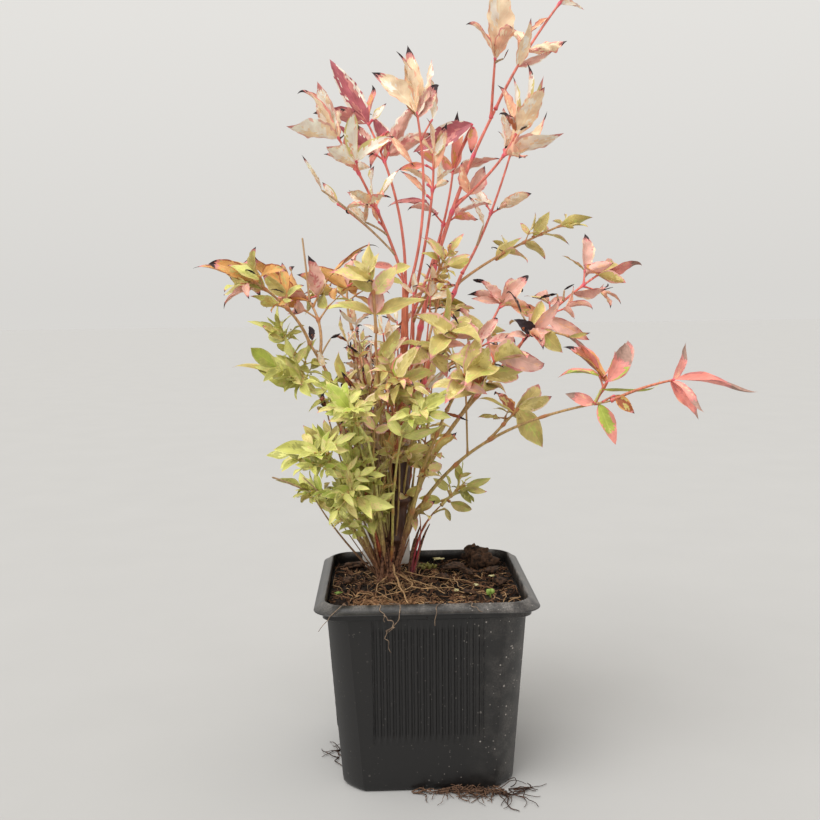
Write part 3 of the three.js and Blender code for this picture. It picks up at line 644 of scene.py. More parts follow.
def dealt_tints(leaves, stations, columns, look):
    """The tint of each cell of each blade: blotches where slow waves crest, the margin near |w| = 1, and
    the tip beyond its start on the rib, reddened just below where it is dead. Chance frays every edge."""
    t = ((np.arange(stations) + 0.5) / stations)[None, :, None]
    w = ((np.arange(columns) + 0.5) / columns * 2 - 1)[None, None]
    s = t + 4 * VEIN_SLANT * t * (1 - t) * np.abs(w)
    chance = look.random((len(leaves), stations, columns)) - 0.5

    def column(pick):
        return np.array([pick(leaf) for leaf in leaves])[:, None, None]

    def tint_of(part):
        return column(lambda leaf: TINTS.index(getattr(leaf["style"], part)))

    phase = column(lambda leaf: leaf["phase"])
    slow = 0.5 * np.sin(5.3 * t + 2.3 * w + phase) + 0.5 * np.sin(9.1 * t - 3.7 * w + 2.3 * phase)
    quick = 0.5 * np.sin(23 * t + 9 * w + 3.1 * phase) + 0.5 * np.sin(31 * t - 14 * w + 1.7 * phase)
    tint = np.broadcast_to(tint_of("body"), chance.shape).copy()
    blotch = slow + 0.4 * quick + 0.7 * chance > 1.1 - 2 * column(lambda leaf: leaf["style"].spread)
    tint = np.where(blotch, tint_of("blotch"), tint)
    edge = np.abs(w) + 0.07 * quick + 0.14 * slow + 0.22 * chance
    rim = edge > 1 - column(lambda leaf: leaf["style"].rim)
    tint = np.where(rim & (s > 0.06), tint_of("margin"), tint)
    end = s + 0.025 * quick + 0.04 * np.abs(w) + 0.05 * chance - column(lambda leaf: leaf["tip_from"])
    dead = column(lambda leaf: leaf["style"].tip in DEAD and leaf["style"].body not in DEAD)
    tint = np.where(dead & (end > -0.07), TINTS.index("rose"), tint)
    return np.where(end > 0, tint_of("tip"), tint)


# Making pieces


def make_piece(name, shape, material, nodes=(), uv=None, marks=None):
    """Puts a shape into a mesh: points in millimetres and faces as lists of quads or triangles, with uv
    and marks one per point. The piece rides on the root body and stands for the given solids."""
    points, faces = shape
    mesh = bpy.data.meshes.new(name)
    mesh.from_pydata((points * MM).tolist(), [], [face for group in faces for face in group.tolist()])
    if uv is not None:
        corners = np.empty(len(mesh.loops), int)
        mesh.loops.foreach_get("vertex_index", corners)
        mesh.uv_layers.new(name="leaf").data.foreach_set("uv", uv[corners].ravel())
    if marks is not None:
        mesh.attributes.new("joint", "FLOAT", "POINT").data.foreach_set("value", marks.ravel())
    mesh.polygons.foreach_set("use_smooth", np.ones(len(mesh.polygons), bool))
    mesh.update()
    piece = bpy.data.objects.new(name, mesh)
    bpy.context.scene.collection.objects.link(piece)
    mesh.materials.append(material)
    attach(piece, "root")
    if nodes:
        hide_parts(*nodes)
    return piece


def joined(parts):
    """Several (points, faces) as one."""
    points, faces, count = [], [[], []], 0
    for spots, groups in parts:
        for group in groups:
            faces[0 if group.shape[1] == 4 else 1].append(group + count)
        points.append(spots)
        count += len(spots)
    return np.concatenate(points), [np.concatenate(group) for group in faces if group]


# Materials

FACTOR, FIRST, SECOND = 0, 6, 7  # inputs of a colour mix
FROM, UPTO, LOW, HIGH = 1, 2, 3, 4  # inputs of a map range: what it reads from and to, and what it gives
COLOUR = {"data_type": "RGBA"}
VEIN_RATE = 62.0  # in radians over a leaf's length
VEIN_LAG = -24.0  # in radians over its width


def plug(node, inputs):
    """Fills a node's inputs, by name or number: with a value, or with a link from a socket or from the
    first output in use of another node."""
    for key, value in inputs.items():
        if isinstance(value, bpy.types.Node):
            value = next(socket for socket in value.outputs if socket.enabled)
        if isinstance(value, bpy.types.NodeSocket):
            node.id_data.links.new(value, node.inputs[key])
        else:
            node.inputs[key].default_value = value


def add(tree, kind, inputs=None, **settings):
    """Adds a shader node of a kind with its settings and inputs."""
    node = tree.nodes.new("ShaderNode" + kind)
    for name, value in settings.items():
        setattr(node, name, value)
    plug(node, inputs or {})
    return node


def new_material(name, roughness, ior=1.5):
    """A material with its tree, its shader, on which the roughness and the IOR are set, and the place in
    the piece's own coordinates."""
    material = bpy.data.materials.new(name)
    material.use_nodes = True
    tree = material.node_tree
    shader = tree.nodes["Principled BSDF"]
    plug(shader, {"Roughness": roughness, "IOR": ior})
    return material, tree, shader, add(tree, "TexCoord").outputs["Object"]


def rgba(tone, lift=1.0):
    """An sRGB hex colour, or a linear one, as four linear numbers with its brightness scaled."""
    tone = linear(tone) if isinstance(tone, str) else tone[:3]
    return tuple(min(1.0, c * lift) for c in tone) + (1.0,)


def leaf_cuticle(name, tone):
    """Living leaf: a waxy skin, so satin, over cells that turn in patches. The rib and the side veins,
    about 2 mm apart, are paler and stand a little proud."""
    material, tree, shader, place = new_material(name, 0.5, 1.45)
    patch = add(tree, "TexNoise", {"Vector": place, "Scale": 1 / (5 * MM), "Detail": 4.0})
    patch = add(tree, "MapRange", {0: patch, FROM: 0.38, UPTO: 0.66})
    grown = add(tree, "UVMap", uv_map="leaf")
    grown = add(tree, "SeparateXYZ", {0: grown})
    across = add(tree, "Math", {0: grown.outputs["Y"], 1: 0.5}, operation="SUBTRACT")
    across = add(tree, "Math", {0: across}, operation="ABSOLUTE")
    lag = add(tree, "Math", {0: across, 1: VEIN_LAG}, operation="MULTIPLY")
    vein = add(tree, "Math", {0: grown.outputs["X"], 1: VEIN_RATE, 2: lag}, operation="MULTIPLY_ADD")
    vein = add(tree, "Math", {0: vein}, operation="SINE")
    vein = add(tree, "MapRange", {0: vein, FROM: 0.72, UPTO: 1.0, HIGH: 0.45})
    rib = add(tree, "MapRange", {0: across, FROM: 0.012, UPTO: 0.05, LOW: 1.0, HIGH: 0.0})
    lines = add(tree, "Math", {0: vein, 1: rib}, operation="MAXIMUM")
    ground = add(tree, "Mix", {FACTOR: patch, FIRST: rgba(tone, 0.84), SECOND: rgba(tone, 1.12)}, **COLOUR)
    share = add(tree, "Math", {0: lines, 1: 0.3}, operation="MULTIPLY")
    face = add(tree, "Mix", {FACTOR: share, FIRST: ground, SECOND: rgba(tone, 1.5)}, **COLOUR)
    bump = add(tree, "Bump", {"Height": lines, "Strength": 0.5, "Distance": 0.12 * MM})
    plug(shader, {"Base Color": face, "Normal": bump})
    return material


def dead_blade(name, tone):
    """Frosted leaf: dry and crisp, so matt, with its skin puckered at about a millimetre."""
    material, tree, shader, place = new_material(name, 0.75, 1.45)
    pucker = add(tree, "TexNoise", {"Vector": place, "Scale": 1 / (1.2 * MM), "Detail": 5.0})
    face = add(tree, "Mix", {FACTOR: pucker, FIRST: rgba(tone, 0.6), SECOND: rgba(tone, 1.7)}, **COLOUR)
    bump = add(tree, "Bump", {"Height": pucker, "Strength": 0.8, "Distance": 0.3 * MM})
    plug(shader, {"Base Color": face, "Normal": bump})
    return material


def stem_skin(name, foot, middle, top, joint, turns):
    """Stem skin, which corks over from the foot up: one colour at the foot, one in the middle and one at
    the top, between three heights, in streaks along the stem, and another at the joints."""
    material, tree, shader, place = new_material(name, 0.45)
    streak = add(tree, "Mapping", {"Vector": place, "Scale": (1.0, 1.0, 0.12)})
    streak = add(tree, "TexNoise", {"Vector": streak, "Scale": 1 / (0.8 * MM), "Detail": 3.0})
    height = add(tree, "SeparateXYZ", {0: place})
    shift = add(tree, "MapRange", {0: streak, LOW: -14 * MM, HIGH: 14 * MM})
    height = add(tree, "Math", {0: height.outputs["Z"], 1: shift}, operation="ADD")
    low, mid, high = turns
    rise = add(tree, "MapRange", {0: height, FROM: low * MM, UPTO: mid * MM})
    crown = add(tree, "MapRange", {0: height, FROM: mid * MM, UPTO: high * MM})
    below = add(tree, "Mix", {FACTOR: rise, FIRST: rgba(foot), SECOND: rgba(middle)}, **COLOUR)
    skin = add(tree, "Mix", {FACTOR: crown, FIRST: below, SECOND: rgba(top)}, **COLOUR)
    worn = add(tree, "MapRange", {0: streak, FROM: 0.3, UPTO: 0.7, LOW: 0.62, HIGH: 1.25})
    worn = add(tree, "VectorMath", {0: skin, "Scale": worn}, operation="SCALE")
    mark = add(tree, "Attribute", attribute_name="joint")
    mark = add(tree, "Math", {0: mark.outputs["Fac"], 1: 0.8}, operation="MULTIPLY")
    mark = add(tree, "Math", {0: mark, 1: rise}, operation="MULTIPLY")
    face = add(tree, "Mix", {FACTOR: mark, FIRST: worn, SECOND: rgba(joint)}, **COLOUR)
    bump = add(tree, "Bump", {"Height": streak, "Strength": 0.4, "Distance": 0.15 * MM})
    plug(shader, {"Base Color": face, "Normal": bump})
    return material


SPLASHES = ((2.4, 0.12), (4.2, 0.1), (9, 0.07))  # spacing, and reach over it


def moulded_pot_plastic(settings):
    """Recycled polypropylene, injection moulded: near black and satin, greyed by handling on the lip,
    and with dried splashes in specks of about half a millimetre, more of them to the right."""
    material, tree, shader, place = new_material("Moulded recycled polypropylene", 0.4, 1.49)
    cloud = add(tree, "TexNoise", {"Vector": place, "Scale": 1 / (7 * MM), "Detail": 7.0})
    grain = add(tree, "TexNoise", {"Vector": place, "Scale": 1 / (0.7 * MM), "Detail": 4.0})
    axes = add(tree, "SeparateXYZ", {0: place})
    skirt = (POT_HEIGHT - LIP_DROP) * MM
    span = {FROM: skirt - 0.2 * MM, UPTO: skirt + 3 * MM, HIGH: 0.135}
    lip = add(tree, "MapRange", {0: axes.outputs["Z"], **span})
    worn = add(tree, "MapRange", {0: cloud, FROM: 0.42, UPTO: 0.64, LOW: 0.3, HIGH: 2.0})
    side = add(tree, "MapRange", {0: axes.outputs["X"], FROM: 14 * MM, UPTO: 42 * MM, HIGH: 0.07})
    dusty = add(tree, "Math", {0: lip, 1: side}, operation="ADD")
    dusty = add(tree, "Math", {0: dusty, 1: worn}, operation="MULTIPLY")
    gritty = add(tree, "MapRange", {0: grain, FROM: 0.35, UPTO: 0.65, LOW: 0.5, HIGH: 1.5})
    dusty = add(tree, "Math", {0: dusty, 1: gritty}, operation="MULTIPLY")
    side = add(tree, "MapRange", {0: axes.outputs["X"], FROM: -10 * MM, UPTO: 34 * MM, LOW: 0.1, HIGH: 0.8})
    side = add(tree, "Math", {0: side, 1: worn}, operation="MULTIPLY")
    for size, reach in SPLASHES:
        spot = add(tree, "TexVoronoi", {"Vector": place, "Scale": 1 / (size * MM), "Randomness": 1.0})
        spot = add(tree, "MapRange", {0: spot, FROM: reach, UPTO: reach / 2})
        spot = add(tree, "Math", {0: spot, 1: side}, operation="MULTIPLY")
        dusty = add(tree, "Math", {0: dusty, 1: spot}, operation="MAXIMUM")
    body, dust = rgba(settings.body), rgba(settings.dust)
    face = add(tree, "Mix", {FACTOR: dusty, FIRST: body, SECOND: dust}, **COLOUR)
    rough = add(tree, "MapRange", {0: dusty, LOW: 0.3, HIGH: 0.8})
    bump = add(tree, "Bump", {"Height": grain, "Strength": 0.3, "Distance": 0.1 * MM})
    plug(shader, {"Base Color": face, "Roughness": rough, "Normal": bump})
    return material


def crumbly(name, dark, pale, grain, roughness=0.92):
    """Damp organic matter, such as peat, bark or a root: matt, in two tones mixed at the grain's size."""
    material, tree, shader, place = new_material(name, roughness, 1.4)
    fleck = add(tree, "TexNoise", {"Vector": place, "Scale": 1 / (grain * MM), "Detail": 6.0})
    share = add(tree, "MapRange", {0: fleck, FROM: 0.35, UPTO: 0.7})
    face = add(tree, "Mix", {FACTOR: share, FIRST: rgba(dark), SECOND: rgba(pale)}, **COLOUR)
    bump = add(tree, "Bump", {"Height": fleck, "Strength": 0.9, "Distance": 0.5 * MM})
    plug(shader, {"Base Color": face, "Normal": bump})
    return material


def label_plastic():
    """Sheet polypropylene, calendered: white and satin, soiled a little where it leaves the compost."""
    material, tree, shader, place = new_material("Sheet polypropylene, white", 0.38, 1.49)
    height = add(tree, "SeparateXYZ", {0: place})
    cloud = add(tree, "TexNoise", {"Vector": place, "Scale": 1 / (3 * MM), "Detail": 5.0})
    span = {FROM: SOIL * MM, UPTO: (SOIL + 6) * MM, LOW: 1.0, HIGH: 0.08}
    soiled = add(tree, "MapRange", {0: height.outputs["Z"], **span})
    soiled = add(tree, "Math", {0: soiled, 1: cloud}, operation="MULTIPLY")
    face = add(tree, "Mix", {FACTOR: soiled, FIRST: rgba("#fbfaf6"), SECOND: rgba("#7d6a58")}, **COLOUR)
    plug(shader, {"Base Color": face})
    return material


# Each kind of stem: its slot, then its skin's colours and heights.
STEM_SKINS = {
    "old_cane": ("red_cane", "#543628", "#b0673f", "#d97a5f", "#e04a70", (130, 140, 200)),
    "red_cane": ("red_cane", "#6a4a35", "#bd7446", "#dc7868", "#e24a70", (84, 140, 195)),
    "olive": ("green_stem", "#9a6c52", "#b8a05e", "#bf9262", "#bc6c42", (92, 112, 170)),
    "green": ("green_stem", "#a07256", "#d4c87c", "#cac874", "#b88048", (88, 106, 140)),
    "rosy": ("green_stem", "#6e3a2e", "#b4483f", "#d0c478", "#b88048", (82, 94, 110)),
    "crimson": ("crimson_shoot", "#6b1f2a", "#b8323f", "#c08a52", "#9a5a3c", (74, 90, 100)),
    "flushed": ("crimson_shoot", "#5a2420", "#a8433e", "#c4b868", "#b88048", (76, 84, 98)),
    "tan": ("green_stem", "#8e6c54", "#a98a68", "#c0a07c", "#8a6248", (80, 110, 160)),
}


def stem_skins():
    """One skin for each kind of stem."""
    return {
        kind: stem_skin(f"Stem skin, {kind.replace('_', ' ')}", *looks)
        for kind, (_, *looks) in STEM_SKINS.items()
    }


# Growing the plant


def stem_curves():
    """Each stem's arc from its flat foot on the compost."""
    return {name: Arc((*row[0], SOIL + FOOT_GAP), row[1], row[2]) for name, row in STEMS.items()}


STEM_SIDES = 12
STEM_STEP = 1.1  # between rings
STEM_SUNK = 1.2  # in the compost
FIRST_JOINT = (12, 20)  # above the foot
JOINT_GAP = (17, 25)
JOINT_SHIFT = 3
KINK = 0.5
SWELL, SWELL_REACH = 0.42, 1.5  # of a joint
FLARE, FLARE_REACH = 0.5, 5  # of a foot
RIDGE, FOOT_RIDGE, RIDGE_REACH = 0.1, 0.14, 45  # all along, more at the foot, and how far that goes
STUB_TOP = 137
STUB_RIDGE = 0.22
STUB_GIRTH = (1.05, 0.7)  # at the compost, and how much more at STUB_TOP
SLIM = 0.86  # a stem's bark over its solid's girth
THIN = {
    "cane_main": 1.12, "stem_far": 0.64, "stem_right": 0.76, "stem_low_right": 0.74, "stem_front": 0.65,
    "stem_left": 0.75, "shoot_right": 0.55, "shoot_left": 0.6, "shoot_mid": 0.72, "shoot_front": 0.62,
}
CROWN = np.array((-15.2, 8.0, 76.0))  # the middle of the woody clump that the stems grow from
GATHER = 0.9  # of the way from a stem's foot to the clump's middle
GATHER_HEIGHT = 38
LOOSE = {"shoot_right": 0.25}  # gathered less than the rest
SWAY = {"shoot_front": -3.5}  # sideways at a stem's middle


def gathered(name, path, t):
    """How far a stem leans in to the clump's middle: GATHER (1 - t)^3 e^(-(h / GATHER_HEIGHT)^2)."""
    rise = (path[:, 2:] - SOIL) / GATHER_HEIGHT
    return LOOSE.get(name, GATHER) * (1 - t[:, None]) ** 3 * np.exp(-(rise**2))


def stem_piece(name, curve, girth, kind, skins, look):
    """A stem: a tube along its arc, h along it, whose joints swell by a bell curve and kink a little, and
    whose foot flares by FLARE e^(-h / FLARE_REACH) and leans in to the clump. The bark's ridges fade by
    e^(-h / RIDGE_REACH). The old cane is a dead stub up to STUB_TOP, which breaks off ragged round the
    thinner cane that grows on."""
    length = curve.length
    t = np.linspace(-STEM_SUNK / length, 1, max(24, int(length / STEM_STEP)))
    path = curve.point(t)
    joints = np.arange(look.uniform(*FIRST_JOINT), length - 4, look.uniform(*JOINT_GAP))
    joints = joints + look.uniform(-JOINT_SHIFT, JOINT_SHIFT, len(joints))
    kinks = np.concatenate([[[0, 0]], look.uniform(-KINK, KINK, (len(joints), 2)), [[0, 0]]])
    knots = np.concatenate([[0], joints, [length]])
    for axis in range(2):
        path[:, axis] += np.interp(t * length, knots, kinks[:, axis])
    inward = gathered(name, path, t)
    path[:, :2] += inward * (CROWN[:2] - path[0, :2])
    path[:, 0] += SWAY.get(name, 0) * np.sin(math.pi * np.clip(t, 0, 1))
    bell = np.exp(-(((t[:, None] * length - joints) / SWELL_REACH) ** 2)).sum(axis=1)
    bell = np.minimum(bell, 1)
    radius = THIN.get(name, SLIM) * (girth[0] + (girth[1] - girth[0]) * t) / 2
    along = np.maximum(t, 0) * length
    radius = radius * (1 + SWELL * bell) + FLARE * np.exp(-along / FLARE_REACH)
    turn = np.arange(STEM_SIDES) * 2 * math.pi / STEM_SIDES
    ridge = lattice(turn[None] * 4 + 7 * np.sin(turn)[None], (t * length)[:, None], 2.6, len(name))
    rough = STUB_RIDGE if kind == "old_cane" else FOOT_RIDGE
    rough = RIDGE + rough * np.exp(-along / RIDGE_REACH)[:, None]
    radii = radius[:, None] * (1 + rough * (ridge - 0.5))
    if kind == "old_cane":
        height = path[:, 2:] + 3 * np.sin(2 * turn)[None] + 1.5 * np.sin(5 * turn)[None]
        stub = STUB_GIRTH[0] + STUB_GIRTH[1] * (height - SOIL) / (STUB_TOP - SOIL)
        radii *= np.where(height < STUB_TOP, stub, 0.9)
    radii[0] *= 0.4
    radii[-1] *= 0.6
    shape = tubes(path[None], radii[None], STEM_SIDES)
    marks = np.concatenate([np.repeat(bell, STEM_SIDES), [0, 0]])
    return make_piece(f"{name}_bark", shape, skins[kind], [name], marks=marks)


AXIS = np.array((-8.0, 6.0, 0.0))  # the upright line that leaves turn their faces away from
LOOK_UP = 0.35
TURN_SHARE = (0.25, 0.95)
TURN_SCATTER = 0.3


def turned_out(leaf, look):
    """A blade's side, turned about its way so that its face goes part of the way to looking outwards and
    up, by a random share and with some scatter."""
    way, side = leaf["way"], leaf["side"]
    face = np.cross(way, side)
    out = leaf["root"] + way * leaf["size"] / 2 - AXIS
    out = unit(out * (1, 1, 0) + (0.01, 0, 0)) + LOOK_UP * UP
    out = unit(out - way * way.dot(out))
    angle = math.atan2(np.cross(face, out).dot(way), face.dot(out))
    angle = angle * look.uniform(*TURN_SHARE) + look.normal(0, TURN_SCATTER)
    return side * math.cos(angle) + np.cross(way, side) * math.sin(angle)


def dressed(leaf, palette, look, shape, style=None):
    """Gives a leaf its style from the palette and its own bend, hook, twist, fold and curl."""
    if style is None:
        styles = PALETTES[palette]
        shares = np.array([style.share for style in styles], float)
        style = styles[look.choice(len(styles), p=shares / shares.sum())]
    return dict(
        leaf,
        style=style,
        side=turned_out(leaf, look),
        size=leaf["size"] * look.uniform(0.88, 1.12),
        bend=2 * leaf["droop"] * look.uniform(0.7, 1.2) + look.uniform(-0.15, 0.25),
        hook=style.hook * look.uniform(0.2, 1.5),
        twist=look.uniform(-0.6, 0.6) * (1 + style.crumple),
        fold=shape.fold * look.uniform(0.3, 1.6),
        curl=style.curl * look.uniform(0.3, 1.3) + 0.02,
        crumple=style.crumple * look.uniform(0.4, 1.3),
        slender=shape.slender * (HABITS[palette].breadth if palette else 1) * look.uniform(0.85, 1.15),
        phase=look.uniform(0, 50),
        tip_from=style.tip_from + look.uniform(-0.06, 0.05),
    )


def withered(leaf, look, shape):
    """A small blackened leaf, curled up, off the same joint as a sound one."""
    angle = look.uniform(0.5, 1.3) * look.choice((-1, 1))
    way = leaf["way"] * math.cos(angle) + leaf["side"] * math.sin(angle)
    small = dict(leaf, way=unit(way), size=look.uniform(4.5, 8.5), droop=0.1)
    return dressed(small, None, look, shape, WITHERED)


LEAFLET_RADII = (0.3, 0.22)
LEAFLET_RIB = 0.42
LEAFLET_SIZES = (0.6, 0.5)
LEAFLET_OPEN = 0.8
LEAFLET_PAIR_AT = 0.6
CUT_FROM = 9  # the leaf length


def cut(leaf):
    """A leaf cut into leaflets: a rib with one leaflet on its end and a pair set off from just above its
    middle. Returns the rib and the leaflets."""
    way, side, size = leaf["way"], leaf["side"], leaf["size"]
    rib = Arc(leaf["root"], way * LEAFLET_RIB * size)
    leaflets = [dict(leaf, root=rib.point(1), size=LEAFLET_SIZES[0] * size)]
    pair = dict(leaf, root=rib.point(LEAFLET_PAIR_AT), size=LEAFLET_SIZES[1] * size)
    c, s = math.cos(LEAFLET_OPEN), math.sin(LEAFLET_OPEN)
    for hand in (1, -1):
        leaflets.append(dict(pair, way=way * c + hand * side * s, side=side * c - hand * way * s))
    return rib, leaflets


FINER_LEAF = 0.62  # over the rest of its spray's
FINER_STALK = 0.6


def grow_sprays(curves, look, shape):
    """Every spray by the rule of the solids, with finer stalks between its joints. Returns the dressed
    leaves, and the main twigs and stalks as (arc, radii, kind, places of the joints)."""
    leaves, twigs = [], []
    for index, (name, row) in enumerate(SPRAYS.items()):
        stem, at, reach, bow, length, joints, stalk, spread, palette, finer, *pair = row
        curve = Arc(curves[stem].point(at), reach, bow)
        roll = dice(FIRST_SEED + SEED_STEP * index)
        first = trio(curve, spread, length, roll, *pair)
        parts = [(None, first, 1)] + shoots(curve, length, joints, stalk, spread, roll)
        habit = HABITS[palette]
        kind = habit.twig
        twigs.append((curve, TWIG_RADII, kind, [t for _, _, t in parts[1:]]))
        spots = node_points(name)
        for twig, grown, _ in parts:
            kept = [leaf for leaf in grown if in_solid(leaf, spots)]
            if twig and kept:
                twigs.append((twig, STALK_RADII, kind, []))
            for leaf in kept:
                if leaf["size"] > CUT_FROM and look.random() < habit.cut:
                    rib, leaflets = cut(leaf)
                    twigs.append((rib, LEAFLET_RADII, kind, []))
                    leaves += [dressed(leaflet, palette, look, shape) for leaflet in leaflets]
                else:
                    leaves.append(dressed(leaf, palette, look, shape))
                if look.random() < habit.withers:
                    leaves.append(withered(leaf, look, shape))
        for twig, grown, _ in shoots(curve, length * FINER_LEAF, finer, FINER_STALK * stalk, spread, roll):
            twigs.append((twig, STALK_RADII, kind, []))
            leaves += [dressed(leaf, palette, look, shape) for leaf in grown]
    return leaves, twigs


FILLING_RADII, FILLING_STALK_RADII = (0.5, 0.3), (0.36, 0.3)
FILLING_OPEN = 0.9
FILLING_STALK = 4.5
# Thin leaf stalks that fill the crown: how many, foot, middle of their reach and its scatter, leaf length,
# palette.
FILLING = (
    (14, (-17, 8), (-17, -20, 50), (9, 8, 17), 10, "lime"),
    (9, (-16, 8), (-10, -20, 62), (8, 8, 20), 10, "lime"),
    (8, (-14, 10), (-7, -18, 84), (12, 9, 20), 11, "leaf"),
    (9, (-12, 14), (4, -8, 108), (14, 10, 26), 11, "cream"),
    (10, (-14, 12), (-13, -6, 90), (14, 12, 24), 11, "dry"),
    (5, (-8, 12), (14, -16, 66), (9, 8, 16), 12, "leaf"),
    (4, (-10, 18), (10, 16, 84), (10, 8, 18), 13, "leaf"),
    (4, (-14, 20), (-12, 24, 80), (12, 8, 22), 13, "lime"),
)
# Bare stalks, some of them dead: how many, foot, middle of their reach and its scatter, kind.
BARE_STALKS = (
    (15, (-16, 7), (-6, -12, 58), (8, 8, 20), "green"),
    (8, (-15, 8), (-4, -10, 64), (8, 8, 22), "olive"),
    (8, (-15, 9), (-8, -12, 84), (16, 10, 26), "tan"),
    (3, (-20, 10), (-30, -10, 44), (8, 8, 8), "tan"),
    (1, (6, 22), (3, 2, 30), (1, 1, 2), "crimson"),
)


